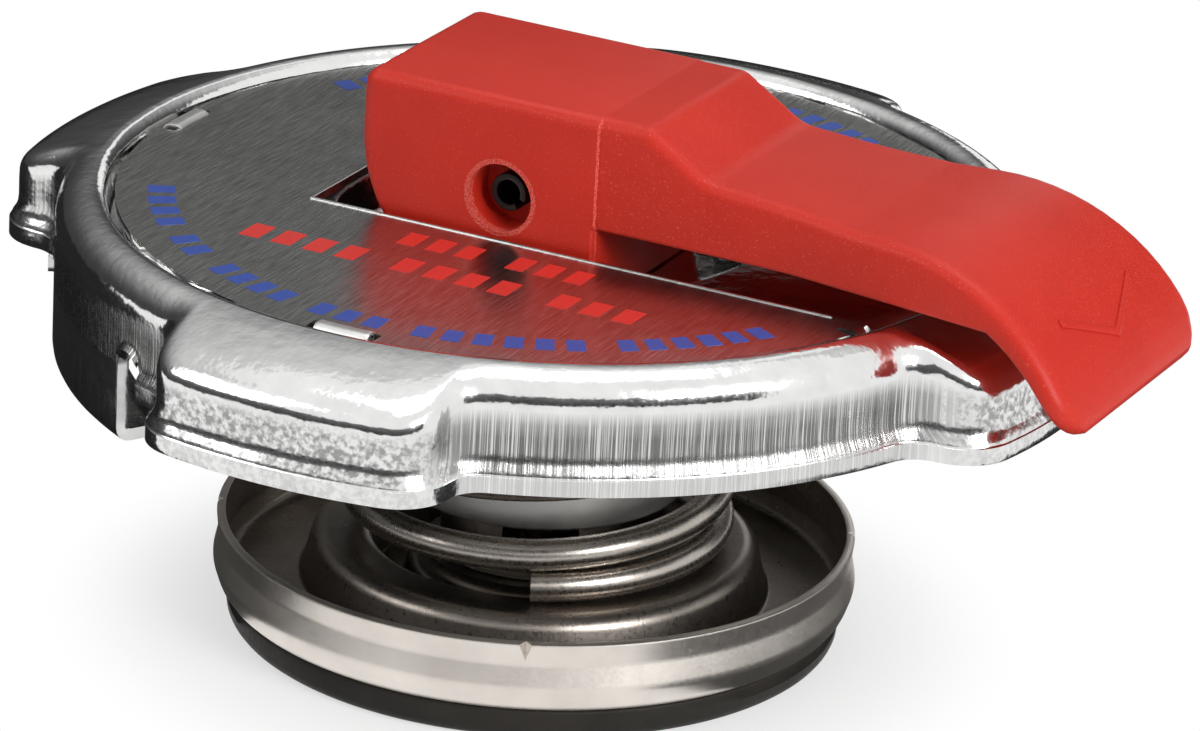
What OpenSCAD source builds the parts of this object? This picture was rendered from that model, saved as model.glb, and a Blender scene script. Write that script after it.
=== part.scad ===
// Pressure-release radiator cap: a pressed lobed shell with two cam ears, a lever that lifts the
// sprung lower valve through a central stem, and a small vacuum valve inside the lower valve.
// Millimetres. The axis is Z, the lower seal stands on Z = 0 and the lever points along +X.

/* [Shell] */
// Thickness of the pressed shell sheet
shell_t = 0.8; // [0.7:0.05:0.9]
// Width of the rolled rim between its crest and the skirt
rim_w = 2.2; // [2.0:0.1:2.6]
// Height of the rim crest above the name plate
rim_rise = 0.6; // [0.4:0.1:0.9]
// How far the skirt reaches down from the top of the name plate
skirt_drop = 7; // [6.5:0.1:8]
// How far the grip lobes stand out from the skirt
lobe_depth = 4.3; // [3.6:0.1:4.8]
// Fall of a lobe's deck from the crest to its shoulder
deck_fall = 1.5; // [0.8:0.1:2]
// Half angle of a lobe's outer arc, degrees
lobe_half = 11.7; // [10:0.1:13]
// Outside radius of a lobe's corners
lobe_corner_r = 3; // [2.6:0.1:3.2]
// Radius of the hollow blend from a lobe to the skirt
lobe_blend_r = 3; // [2.6:0.1:3.2]
// Outward flare of the trimmed lower lip
lip_flare = 0.6; // [0.3:0.05:0.9]
// Height of the trimmed band along the lip
lip_band = 1.1; // [0.8:0.1:1.5]

/* [Cam ears] */
// Half angle of an ear, degrees
ear_half = 15.6; // [12:0.1:16]
// Width of the relief slit beside an ear
slit_w = 2.7; // [2:0.1:3]
// Height of a relief slit above the skirt's lower edge
slit_h = 2.8; // [2:0.1:3.2]
// How far an ear reaches below the skirt
ear_drop = 4; // [3:0.1:5]
// Inward reach of the bent tongue, from the skirt's outside
tongue_reach = 4.5; // [3.5:0.1:5]

/* [Name plate] */
// Radius of the name plate
plate_r = 28.2; // [27.6:0.1:29]
// Thickness of the name plate
plate_t = 0.5; // [0.4:0.05:0.7]
// Width of the slot for the lever
slot_w = 16.2; // [15.6:0.1:17]
// Distance from the axis to the closed end of the slot
slot_back = 13.1; // [12.6:0.1:13.6]
// Width of a bent-down locating tab
tab_w = 3.7; // [3:0.1:5]

/* [Shell well] */
// Depth of the lever well below the name plate's seat
well_depth = 3.25; // [3:0.05:3.8]
// Radius of the well's floor
well_r = 13.1; // [12.8:0.1:13.5]
// Depth of the recess for the eyelet's head
hub_depth = 1; // [0.9:0.05:1.3]
// Radius of the recess for the eyelet's head
hub_r = 6.6; // [6:0.1:7]

/* [Lever] */
// Width of the lever's head
lever_w = 14.6; // [13.8:0.1:15]
// Width of the lever across its tip
tip_w = 21; // [18:0.1:23]
// Height of the pin above the cam's resting face
cam_low = 6.2; // [5.8:0.1:6.6]
// Distance from the pin to the cam's lifting face
cam_high = 10.3; // [9.8:0.1:10.8]
// Height of the head's top above the pin
head_top = 6.7; // [6.2:0.1:7.2]
// Distance from the pin to the front of the head's top
head_front = 10.1; // [9:0.1:11]
// Rounding of the long edges of the head's top
head_round = 0.8; // [0.3:0.1:1.2]
// Distance from the pin to the foot of the head's slope
slope_foot = 14.4; // [13:0.1:16]
// Height of the arm's top above the pin at the foot of the slope
arm_top = 3.9; // [3.6:0.1:4.3]
// Fall of the arm's top from the slope to the bend
arm_fall = 0.7; // [0.3:0.1:1]
// Distance from the pin to the start of the bend
bend_x = 27.8; // [26:0.1:30]
// Radius of the bend's outside
bend_r = 15; // [14:0.1:16]
// Angle that the tip is bent down by, degrees
bend_a = 69; // [60:1:72]
// Wall thickness of the arm and the tip
lever_t = 2; // [1.6:0.1:2.4]
// Depth of the arm's underside below the pin
arm_under = 0.9; // [0.5:0.1:1.2]
// Distance from the pin to the front of the cam block
cheek_front = 6.7; // [6:0.1:7.2]
// Width of the slot for the stem's eye
fork_w = 5.4; // [5:0.1:6]
// Radius of the pin's counterbore
sink_r = 2.25; // [1.9:0.05:2.5]
// Depth of the pin's counterbore
sink_h = 2.4; // [1.5:0.1:2.8]
// Gap between the cam and the well's floor
cam_gap = 0.15; // [0.1:0.01:0.25]

/* [Pin and stem] */
// Radius of the slotted lever pin
pin_r = 1.25; // [1.1:0.05:1.4]
// Wall of the slotted lever pin
pin_wall = 0.4; // [0.3:0.05:0.5]
// Radial running clearance of the pin and the stem
run_gap = 0.06; // [0.03:0.01:0.1]
// Radius of the stem's eye
eye_r = 3.2; // [2.9:0.1:3.4]
// Side clearance of the stem's eye in the lever
eye_gap = 0.2; // [0.1:0.05:0.4]
// Radius of the stem's rod
stem_r = 2; // [1.8:0.05:2.1]
// Radius of the stem's lower head
stem_head_r = 4.2; // [3.8:0.1:4.6]
// Thickness of the stem's lower head
stem_head_h = 1.55; // [1.2:0.05:1.8]

/* [Lower valve] */
// Outer radius of the valve cup at its rim
cup_r = 21; // [20.6:0.1:21.4]
// Height of the valve cup
cup_h = 4.9; // [4.4:0.1:5.4]
// Thickness of the valve cup's sheet
cup_t = 0.6; // [0.5:0.05:0.7]
// Height of the spring seat above the cup's underside
hump_h = 4; // [3.6:0.1:4.3]
// Thickness of the lower gasket
gasket_t = 2.1; // [1.9:0.05:2.4]
// Outer radius of the lower gasket
gasket_r = 20.2; // [19.8:0.1:20.4]
// Rise of the cup's middle above its floor
plateau_h = 1.7; // [1.5:0.1:1.9]
// Depth of the staked dents in the cup's rim
stake_d = 0.5; // [0.3:0.05:0.6]

/* [Pressure spring] */
// Wire diameter of the pressure spring
wire_d = 2.1; // [1.9:0.05:2.2]
// Mean radius of the pressure spring
coil_r = 11.95; // [11.9:0.05:12.2]
// Installed length of the pressure spring
spring_len = 17.05; // [16.5:0.05:18]
// Number of turns of the pressure spring
turns = 4.2; // [3.8:0.1:5.2]

/* [Upper seal] */
// Thickness of the spring-steel diaphragm
diaphragm_t = 0.3; // [0.25:0.05:0.4]
// Radius of the diaphragm
diaphragm_r = 26.6; // [26.3:0.1:26.9]
// Drop of the diaphragm's outer flat below its middle
diaphragm_drop = 0.45; // [0.3:0.05:0.6]
// Width of the upper gasket
seal_w = 4.6; // [4:0.1:4.8]
// Thickness of the upper gasket
seal_t = 1.2; // [1:0.1:1.5]
// Outer radius of the bell
bell_r = 9.7; // [9.5:0.05:9.8]
// Thickness of the bell's sheet
bell_t = 0.7; // [0.6:0.05:0.75]
// Height of the bell
bell_h = 13.1; // [12.5:0.1:13.3]

/* [Lift yoke] */
// Inner radius of the yoke's cage
yoke_r = 5.6; // [5.5:0.05:5.7]
// Thickness of the yoke's sheet
yoke_t = 0.7; // [0.6:0.05:0.8]
// Height of the yoke above the cup's middle
yoke_h = 9.5; // [9.3:0.1:9.6]
// Gap between the stem's head and the yoke
head_gap = 0.15; // [0.1:0.01:0.25]

/* [Vacuum valve] */
// Inner radius of the seat ferrule
ferrule_r = 4.2; // [4:0.1:4.4]
// Wall of the seat ferrule
ferrule_t = 0.6; // [0.5:0.05:0.7]
// Radius of the vacuum valve's head
poppet_r = 3.8; // [3.5:0.05:3.85]
// Radius of the vacuum valve's stem
poppet_stem_r = 1; // [0.9:0.05:1.1]
// Installed length of the vacuum spring
vac_spring_len = 3; // [2.6:0.1:3.2]
// Wire diameter of the vacuum spring
vac_wire_d = 0.45; // [0.35:0.05:0.5]
// Number of turns of the vacuum spring
vac_turns = 3.5; // [3:0.5:4]

/* [Hidden] */
$fn = 64;

// Heights, from the lower seal upwards
cup_z = gasket_t;
cup_rim_z = cup_z + cup_h;
hump_z = cup_z + hump_h;
plateau_z = cup_z + cup_t + plateau_h;
seat_z = hump_z + spring_len;
hub_under_z = seat_z + diaphragm_t;
hub_z = hub_under_z + shell_t;
land_z = hub_z + hub_depth;
pan_z = land_z + well_depth;
plate_z = pan_z + plate_t;
crest_z = plate_z + rim_rise;
skirt_z = plate_z - skirt_drop;
ear_z = skirt_z - ear_drop;
pin_z = land_z + cam_gap + cam_low;

// Radii of the shell, from the name plate outwards
groove_w = 1.1;
groove_depth = 1.3;
crest_gap = 1.6;
crest_r = plate_r + crest_gap;
base_r = crest_r + rim_w;
lobe_r = base_r + lobe_depth;
lobe_count = 4;
lobe_pitch = 360 / lobe_count;

// Round shoulder: its height, and its squareness on the skirt and on a lobe
shoulder_h = 1.05 * rim_w;
base_power = 2;
lobe_power = 3.4;
flare_h = 2.6;

// Lobe outline: a corner arc and a hollow blend that touch each other
corner_d = lobe_r - lobe_corner_r;
blend_d = base_r + lobe_blend_r;
reach = lobe_corner_r + lobe_blend_r;
lobe_flank = acos((corner_d ^ 2 + blend_d ^ 2 - reach ^ 2) / (2 * corner_d * blend_d));
blend_a = lobe_half + lobe_flank;
corner_c = corner_d * [cos(lobe_half), sin(lobe_half)];
blend_c = blend_d * [cos(blend_a), sin(blend_a)];
flank_a = atan2(blend_c[1] - corner_c[1], blend_c[0] - corner_c[0]);

// Ears stand midway between lobes, on two opposite sides
ear_at = [lobe_pitch / 2, lobe_pitch / 2 + 180];
slit_a = slit_w / base_r * 180 / PI;
slit_mid = ear_half + slit_a / 2;
slit_edge = 0.3;

// Cam: the lift grows in step with the lever's angle
cam_rate = (cam_high - cam_low) / (PI / 2);
cam_steps = 18;

// Inside radii of the pressed sheets' bends, from sharp to easy
bend_s = 0.3;
bend_m = 0.5;
bend_l = 0.9;

// Central stack
tube_t = 1.1;
tube_r = stem_r + run_gap + tube_t;
flange_r = hub_r - 1.4;
flange_t = 0.8;
bell_top_z = seat_z - bell_t;
yoke_top_z = plateau_z + yoke_h;
head_top_z = yoke_top_z - yoke_t - head_gap;
oring_d = 1;
boss_h = 2.1;
boss_z = bell_top_z - boss_h;
oring_z = bell_top_z - boss_h / 2;

// Vacuum valve stack
lip_t = 0.5;
lip_z = plateau_z + lip_t;
clinch_w = 0.6;
clamp_r = ferrule_r + ferrule_t;
clamp_w = 5.6;
clamp_out = clamp_r + clamp_w;
clamp_in = 0.7;
clamp_z = cup_z - clamp_in;
clamp_t = 0.5;
ferrule_lip = 1.8;
poppet_t = 0.8;
vac_seal_t = 0.6;
keeper_t = 0.6;
keeper_z = lip_z + vac_spring_len;
vac_coil_r = ferrule_r - 1.3;

// Points of an arc, from angle a0 to a1, in n steps
function arc(c, r, a0, a1, n) = [for (i = [0:n]) let (a = a0 + (a1 - a0) * i / n) c + r * [cos(a), sin(a)]];
function unit(v) = v / norm(v);
function turn(v, a) = [v[0] * cos(a) - v[1] * sin(a), v[0] * sin(a) + v[1] * cos(a)];
function flip(list) = [for (i = [len(list) - 1:-1:0]) list[i]];

// Corner b of a bent sheet, rounded by radius r between its neighbours a and c
function bend(a, b, c, r, n = 4) =
    let (u = unit(a - b), v = unit(c - b), open = acos(u * v), from = b + u * r / tan(open / 2))
    let (mid = b + unit(u + v) * r / sin(open / 2), side = sign(u[0] * v[1] - u[1] * v[0]))
    [for (i = [0:n]) mid + turn(from - mid, -side * (180 - open) * i / n)];

// Open line with rounded corners, from points given as radius, height and corner radius
function soften(path) = [for (i = [0:len(path) - 1])
    let (b = [path[i][0], path[i][1]], r = path[i][2])
    each r == 0 ? [b] : bend([path[i - 1][0], path[i - 1][1]], b, [path[i + 1][0], path[i + 1][1]], r)];

// Normal of an open line at point i, long enough to keep the sheet's thickness
function side_of(p, i) =
    let (a = unit(p[i] - p[max(i - 1, 0)] + (i == 0 ? p[1] - p[0] : [0, 0])))
    let (b = unit(p[min(i + 1, len(p) - 1)] - p[i] + (i == len(p) - 1 ? p[i] - p[i - 1] : [0, 0])))
    let (m = unit(a + b)) [-m[1], m[0]] / (m * a);

// Closed outline of a sheet of thickness t on the left of an open line
function sheet(path, t) =
    let (p = soften(path)) concat(p, flip([for (i = [0:len(p) - 1]) p[i] + t * side_of(p, i)]));

// Half of a lobe's outline as points with the direction of their normal, from its middle to the next ear
slit_start = lobe_pitch / 2 - ear_half;
base_stops = [blend_a, slit_start - slit_a - slit_edge, slit_start + slit_edge];
half_outline = concat(
    [for (i = [0:2]) let (a = lobe_half * i / 3) [lobe_r * cos(a), lobe_r * sin(a), a]],
    [for (i = [0:4]) let (a = lobe_half + (flank_a - lobe_half) * i / 5)
        [corner_c[0] + lobe_corner_r * cos(a), corner_c[1] + lobe_corner_r * sin(a), a]],
    [for (i = [0:4]) let (a = flank_a + (blend_a - flank_a) * i / 5)
        [blend_c[0] - lobe_blend_r * cos(a), blend_c[1] - lobe_blend_r * sin(a), a]],
    [for (a = base_stops) [base_r * cos(a), base_r * sin(a), a]],
    [for (i = [1:4]) let (a = base_stops[2] + (lobe_pitch / 2 - base_stops[2]) * i / 4)
        [base_r * cos(a), base_r * sin(a), a]]);
half_n = len(half_outline);

// Whole outline, one lobe after the other
outline = [for (k = [0:lobe_count - 1]) each concat(
    [for (i = [half_n - 2:-1:1]) let (h = half_outline[i])
        [each turn([h[0], -h[1]], k * lobe_pitch), k * lobe_pitch - h[2]]],
    [for (h = half_outline) [each turn([h[0], h[1]], k * lobe_pitch), k * lobe_pitch + h[2]]])];

// 1 on an ear, 0 elsewhere
function on_ear(a) = max([for (e = ear_at) abs((a - e + 540) % 360 - 180) < ear_half ? 1 : 0]);

// Section of the rim and the skirt at one point of the outline, from the rim's crest round and back
crest_lap = 0.7;
shoulder_n = 8;
lap_gap = 0.01;
function rim_section(o) =
    let (wall = [o[0], o[1]], n = [cos(o[2]), sin(o[2])], a = atan2(o[1], o[0]))
    let (crest = crest_r * [cos(a), sin(a)])
    let (share = (norm(wall) - base_r) / lobe_depth, deck = deck_fall * share)
    let (power = 2 / (base_power + (lobe_power - base_power) * share), inner = wall - shell_t * n)
    let (ear = on_ear(a), out = lip_flare * (1 - ear), low = ear ? ear_z + shell_t : skirt_z)
    let (lap = (crest_r - crest_lap) / crest_r * crest, lip = skirt_z + lip_band)
    concat([[each lap, crest_z - 0.35 * shell_t]],
        [for (i = [0:shoulder_n]) let (u = 90 * i / shoulder_n, s = sin(u) ^ power, c = cos(u) ^ power)
            [each crest + (wall - crest) * s, crest_z - lap_gap - deck * s - shoulder_h * (1 - c)]],
        [[each wall, skirt_z + flare_h],
            [each wall + 0.7 * out * n, lip + 0.35],
            [each wall + out * n, lip],
            [each wall + out * n, low],
            [each wall + (out - shell_t) * n, low],
            [each wall + (out - shell_t) * n, lip],
            [each inner, skirt_z + flare_h]],
        [for (i = [shoulder_n:-2:0]) let (u = 90 * i / shoulder_n, s = sin(u) ^ power, c = cos(u) ^ power)
            [each crest + (inner - crest) * s,
                crest_z - shell_t - deck * s - (shoulder_h - 0.8 * shell_t) * (1 - c)]],
        [[each lap, crest_z - 0.65 * shell_t]]);

// Closed ring through equal sections
module ring_of(sections) {
    m = len(sections);
    n = len(sections[0]);
    polyhedron(
        [for (s = sections) each s],
        [for (i = [0:m - 1]) for (j = [0:n - 1])
            let (a = i * n, b = (i + 1) % m * n, k = (j + 1) % n)
            each [[a + j, b + j, b + k], [a + j, b + k, a + k]]]);
}

// Tube along a line of points, with sections square to it and closed ends
module tube_along(path, r, sides) {
    n = len(path);
    function along(i) = path[min(i + 1, n - 1)] - path[max(i - 1, 0)];
    function section(i) = let (t = unit(along(i)), u = unit(cross(t, [0, 0, 1])), v = cross(u, t))
        [for (k = [0:sides - 1]) path[i] + r * (cos(360 * k / sides) * u + sin(360 * k / sides) * v)];
    polyhedron(
        [for (i = [0:n - 1]) each section(i)],
        concat([[for (k = [0:sides - 1]) k]],
            [for (i = [0:n - 2]) for (k = [0:sides - 1])
                let (a = i * sides, b = a + sides, q = (k + 1) % sides)
                each [[a + k, b + k, b + q], [a + k, b + q, a + q]]],
            [[for (k = [sides - 1:-1:0]) (n - 1) * sides + k]]));
}

// Coil with closed ends: height of the wire's middle after s turns
function coil_rise(s, n, wire, h) =
    let (pitch = (h - 2 * wire * 1.02) / (n - 2))
    s < 1 ? wire * 1.02 * s : s > n - 1 ? h - wire * 1.02 * (n - s) : wire * 1.02 + pitch * (s - 1);

module coil(r, wire, z, len, n, start, steps, sides) {
    h = len - wire;
    last = floor(n * steps);
    foot = z + wire / 2;
    line = [for (i = [0:last]) let (s = i / steps, a = start + 360 * s)
        [r * cos(a), r * sin(a), foot + coil_rise(s, last / steps, wire, h)]];
    tube_along(line, wire / 2, sides);
}

module turned(points) {
    rotate_extrude() polygon(points);
}

module at_ears() {
    for (a = ear_at) rotate(a) children();
}

// Middle of the shell: hub recess, cam land, well, plate seat, groove and the inside of the rim
module shell_middle() {
    hub_lean = 0.8;
    well_foot = well_r + 0.6;
    well_lean = 1;
    land_under = land_z - shell_t;
    pan_under = pan_z - shell_t;
    groove_under = pan_under - groove_depth;
    groove_in = plate_r - 0.9;
    groove_out = plate_r + 1;
    crest_under = crest_z - shell_t;
    turned(sheet([[tube_r, hub_under_z, 0], [hub_r - hub_lean, hub_under_z, bend_l],
        [hub_r, land_under, bend_m], [well_foot, land_under, 1.4], [well_foot + well_lean, pan_under, 0.6],
        [plate_r - groove_w - shell_t, pan_under, bend_s], [groove_in, groove_under, bend_l],
        [groove_out, groove_under, bend_l], [crest_r - 0.25, crest_under, bend_s],
        [crest_r + 0.15, crest_under, 0]], shell_t));
}

module slit() {
    top = skirt_z + slit_h - slit_w / 2;
    foot = ear_z - 2;
    depth = 6;
    for (s = [-1, 1]) rotate(s * slit_mid) translate([base_r - depth / 2, 0, 0]) {
        translate([0, -slit_w / 2, foot]) cube([depth, slit_w, top - foot]);
        translate([0, 0, top]) rotate([0, 90, 0]) cylinder(d = slit_w, h = depth);
    }
}

// Tongue bent in from the foot of an ear, with its bend
module tongue() {
    skin = 0.06;
    out = base_r - skin;
    tip = base_r - tongue_reach;
    bend_out = 1;
    rotate(-ear_half) rotate_extrude(angle = 2 * ear_half)
        polygon(concat([[tip, ear_z], [tip, ear_z + shell_t], [out - bend_m, ear_z + shell_t + bend_s]],
            arc([out - bend_out, ear_z + bend_out], bend_out, 0, -90, 4)));
}

module shell() {
    color("silver") difference() {
        union() {
            ring_of([for (o = outline) rim_section(o)]);
            shell_middle();
            at_ears() tongue();
        }
        at_ears() slit();
    }
}

// Tab that bends down from the plate's edge, w wide, at angle a
tab_root = 2;
tab_in = 0.55;
tab_foot = 0.35;
module tab(a, w) {
    half = w / plate_r * 90 / PI;
    rotate(a - half) rotate_extrude(angle = 2 * half)
        polygon(sheet([[plate_r - tab_root, pan_z, 0], [plate_r - tab_in, pan_z, 0.2],
            [plate_r - tab_in, pan_z - groove_depth + tab_foot, 0]], plate_t));
}

module name_plate() {
    notch = 1;
    notch_in = 1.3;
    lug_w = 1.6;
    lug_gap = 0.6;
    mouth_a = asin(slot_w / 2 / plate_r);
    lug_a = mouth_a + lug_w / plate_r * 90 / PI + lug_gap;
    tabs = [for (a = [90, 180, 270]) [a, tab_w], [lug_a, lug_w], [-lug_a, lug_w]];
    through = plate_t + 2;
    color("gainsboro") {
        difference() {
            translate([0, 0, pan_z]) cylinder(r = plate_r, h = plate_t);
            translate([-slot_back, -slot_w / 2, pan_z - 1])
                cube([plate_r + slot_back + 1, slot_w, through]);
            for (t = tabs) rotate(t[0]) translate([plate_r - notch_in, -(t[1] + notch) / 2, pan_z - 1])
                cube([tab_root + 1, t[1] + notch, through]);
        }
        for (t = tabs) tab(t[0], t[1]);
    }
}

// Hollow rivet that joins shell, diaphragm and bell and guides the stem
module centre_eyelet() {
    bore = stem_r + run_gap;
    gland = bore + oring_d;
    color("darkgray") turned([[bore, boss_z], [flange_r, boss_z], [flange_r, bell_top_z],
        [tube_r, bell_top_z], [tube_r, hub_z], [flange_r, hub_z], [flange_r, hub_z + flange_t],
        [bore, hub_z + flange_t], [bore, oring_z + oring_d / 2], [gland, oring_z + oring_d / 2],
        [gland, oring_z - oring_d / 2], [bore, oring_z - oring_d / 2]]);
}

module diaphragm() {
    color("slategray") turned(sheet([[tube_r, seat_z, 0], [coil_r + 2, seat_z, 3],
        [cup_r, seat_z - diaphragm_drop, 3], [diaphragm_r, seat_z - diaphragm_drop, 0]], diaphragm_t));
}

module upper_gasket() {
    top = seat_z - diaphragm_drop;
    foot = top - seal_t;
    out = diaphragm_r - 0.4;
    in = out - seal_w;
    edge = 0.2;
    color("black") turned([[in, top], [in, foot + edge], [in + edge, foot], [out - edge, foot],
        [out, foot + edge], [out, top]]);
}

module bell() {
    color("lightgray") turned(sheet([[bell_r, seat_z - bell_h, 0], [bell_r, seat_z, 1.4],
        [tube_r, seat_z, 0]], bell_t));
}

module stem_seal() {
    bore = stem_r + run_gap;
    color("black") translate([0, 0, oring_z]) rotate_extrude()
        translate([bore + oring_d / 2, 0]) circle(d = oring_d);
}

module pressure_spring() {
    cut_a = 296;
    color("dimgray") coil(coil_r, wire_d, hump_z, spring_len, turns, cut_a, 24, 10);
}

// Side outline of the lever about its pin
bend_c = [bend_x, arm_top - arm_fall - bend_r];
tip_r = bend_r - lever_t;
under_a = acos((-arm_under - bend_c[1]) / tip_r);
cam_outline = [for (i = [0:cam_steps]) let (a = 90 * i / cam_steps, h = cam_low + cam_rate * a * PI / 180)
    [-h * sin(a) - cam_rate * cos(a), -h * cos(a) + cam_rate * sin(a)]];
lever_outline = concat([[cheek_front, -arm_under], [cheek_front, -cam_low]], cam_outline,
    soften([[-cam_high, head_top - 2, 0], [-cam_high + 0.1, head_top, 0.8], [head_front, head_top - 0.1, 1],
        [slope_foot, arm_top, 3], [bend_x - 3, arm_top - arm_fall, 0]]),
    arc(bend_c, bend_r, 90, 90 - bend_a, 12), arc(bend_c, tip_r, 90 - bend_a, 90 - under_a, 6));
// Hollow under the arm, one wall inside its top
pocket_outline = concat([[head_front - 1, -cam_low], [head_front - 1, arm_top - lever_t],
    [slope_foot, arm_top - lever_t]], arc(bend_c, tip_r, 90, 90 - under_a - 4, 8), [[bend_x, -cam_low]]);

// Plan of the lever, w inside its edge: straight head, flared arm and a tip with round corners
flare_x = 20;
tip_x = bend_x + bend_r;
function both_sides(half) = concat(half, [for (p = flip(half)) [p[0], -p[1]]]);
function plan(w) =
    let (a = lever_w / 2 - w, b = tip_w / 2 - w)
    both_sides(soften([[-cam_high - 1, a, 0], [flare_x, a, 8], [tip_x - 2, b, 0.1 + 3 - w],
        [tip_x + 0.2, b - 4, 0]]));

// Front view that rounds the long edges of the head's top, given as height and half width
head_foot = head_top - head_round;
front = both_sides(concat([[-2 * bend_r, tip_w / 2 + 1], [head_foot, tip_w / 2 + 1]],
    arc([head_foot, lever_w / 2 - head_round], head_round, 90, 0, 4)));

module side_view(points, w) {
    rotate([90, 0, 0]) linear_extrude(w, center = true) polygon(points);
}

module top_view(points) {
    translate([0, 0, -bend_r]) linear_extrude(2 * bend_r) polygon(points);
}

module front_view(points) {
    rotate([0, -90, 0]) linear_extrude(2 * tip_x + 2, center = true) polygon(points);
}

module lever() {
    eye_room = eye_r + 0.4;
    color("firebrick") translate([0, 0, pin_z]) difference() {
        intersection() {
            side_view(lever_outline, tip_w + 2);
            top_view(plan(0));
            front_view(front);
        }
        intersection() {
            side_view(pocket_outline, tip_w + 2);
            top_view(plan(lever_t));
        }
        translate([-cam_high - 1, -fork_w / 2, -cam_low - 1])
            cube([cam_high + 1 + eye_room, fork_w, cam_low + 1 + eye_room]);
        rotate([90, 0, 0]) cylinder(r = pin_r, h = lever_w + 2, center = true);
        for (s = [0, 180]) rotate(s) translate([0, lever_w / 2 - sink_h, 0]) rotate([-90, 0, 0])
            cylinder(r = sink_r, h = sink_h + 1);
    }
}

module lever_pin() {
    long = lever_w - 2 * sink_h;
    color("#202020") translate([0, 0, pin_z]) rotate([90, 0, 0]) difference() {
        cylinder(r = pin_r, h = long, center = true);
        cylinder(r = pin_r - pin_wall, h = long + 1, center = true);
        rotate(60) translate([0, -pin_wall, -long]) cube([2 * pin_r, 2 * pin_wall, 2 * long]);
    }
}

module lift_stem() {
    thick = fork_w - 2 * eye_gap;
    color("darkgray") difference() {
        union() {
            translate([0, 0, head_top_z - stem_head_h]) cylinder(r = stem_head_r, h = stem_head_h);
            translate([0, 0, head_top_z - stem_head_h / 2]) cylinder(r = stem_r, h = pin_z - head_top_z);
            translate([0, 0, pin_z]) rotate([90, 0, 0]) cylinder(r = eye_r, h = thick, center = true);
        }
        translate([0, 0, pin_z]) rotate([90, 0, 0])
            cylinder(r = pin_r + run_gap, h = thick + 1, center = true);
    }
}

// Pressed cup: flared rim, floor, spring seat, inner channel and raised middle
module valve_cup() {
    waist_z = cup_z + 0.7 * cup_h;
    waist = cup_r - 0.15;
    belly = cup_r + 0.2;
    belly_z = cup_z + 1.8;
    hump_out = coil_r + wire_d / 2 + 1.1;
    hump_in = bell_r + 1.3;
    channel_in = bell_r - bell_t - 1;
    lean = 0.2;
    seat_under = hump_z - cup_t;
    mid_under = plateau_z - cup_t;
    stake = 1.1 * stake_d + 0.3;
    stake_in = 0.35;
    stake_z = cup_rim_z - 1.4;
    color("rosybrown") difference() {
        turned(sheet([[clamp_r, mid_under, 0], [channel_in - lean, mid_under, bend_s],
            [channel_in, cup_z, 0.8], [hump_in, cup_z, 0.8], [hump_in + lean, seat_under, bend_m],
            [hump_out, seat_under, 0.7], [hump_out + 4 * lean, cup_z, bend_l],
            [belly - 3 * lean, cup_z, 1.2], [belly, belly_z, 1.2], [waist, waist_z, 1.5],
            [cup_r, cup_rim_z, 0]], cup_t));
        for (a = [26:90:296]) rotate(a) translate([cup_r + stake_in, 0, stake_z])
            rotate([0, 45, 0]) cube([stake, 1, stake], center = true);
    }
}

// Cage on the cup that hangs from the stem's head
module lift_yoke() {
    windows = 3;
    window_w = 5;
    foot_h = 1.6;
    foot_w = 1.8;
    hole = stem_r + 0.3;
    under = yoke_top_z - yoke_t;
    color("darkgray") difference() {
        turned(sheet([[yoke_r + foot_w, plateau_z, 0], [yoke_r, plateau_z, yoke_t + 0.2],
            [yoke_r, under, bend_m], [hole, under, 0]], -yoke_t));
        for (i = [0:windows - 1]) rotate(60 + 360 / windows * i)
            translate([0, -window_w / 2, plateau_z + foot_h])
                cube([2 * yoke_r, window_w, yoke_h - 2 * foot_h]);
    }
}

module lower_gasket() {
    hole = clamp_r + 0.1;
    step_in = clamp_out + 0.3;
    step_out = clamp_out + 0.8;
    edge = 0.9;
    color("#181818") turned(concat([[hole, clamp_z], [step_in, clamp_z], [step_out, 0]],
        arc([gasket_r - edge, edge], edge, -90, 0, 5), [[gasket_r, cup_z], [hole, cup_z]]));
}

// Turned ferrule that clamps the gasket to the cup and seats the vacuum valve
module seat_ferrule() {
    flange_z = clamp_z - clamp_t;
    clinch = clamp_r + clinch_w;
    clinch_taper = 0.1;
    hole = ferrule_r - ferrule_lip;
    color("darkgoldenrod") turned([[ferrule_r, flange_z], [clamp_out, flange_z], [clamp_out, clamp_z],
        [clamp_r, clamp_z], [clamp_r, plateau_z], [clinch, plateau_z], [clinch - clinch_taper, lip_z],
        [hole, lip_z], [hole, plateau_z], [ferrule_r, plateau_z]]);
}

module vacuum_spring() {
    color("silver") coil(vac_coil_r, vac_wire_d, lip_z, vac_spring_len, vac_turns, 0, 14, 8);
}

module vacuum_valve() {
    head_z = plateau_z - vac_seal_t - poppet_t;
    end_z = keeper_z + keeper_t + 0.3;
    color("goldenrod") union() {
        translate([0, 0, head_z]) cylinder(r = poppet_r, h = poppet_t);
        translate([0, 0, head_z]) cylinder(r = poppet_stem_r, h = end_z - head_z);
    }
}

module vacuum_seal() {
    color("black") translate([0, 0, plateau_z - vac_seal_t]) difference() {
        cylinder(r = poppet_r - 0.1, h = vac_seal_t);
        translate([0, 0, -1]) cylinder(r = poppet_stem_r, h = vac_seal_t + 2);
    }
}

module vacuum_keeper() {
    color("goldenrod") translate([0, 0, keeper_z]) difference() {
        cylinder(r = vac_coil_r + vac_wire_d, h = keeper_t);
        translate([0, 0, -1]) cylinder(r = poppet_stem_r, h = keeper_t + 2);
    }
}

shell();
name_plate();
centre_eyelet();
diaphragm();
upper_gasket();
bell();
stem_seal();
pressure_spring();
lever();
lever_pin();
lift_stem();
valve_cup();
lift_yoke();
lower_gasket();
seat_ferrule();
vacuum_spring();
vacuum_valve();
vacuum_seal();
vacuum_keeper();
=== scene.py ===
import math

import bmesh
import bpy
from mathutils import Matrix, Quaternion, Vector


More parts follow.
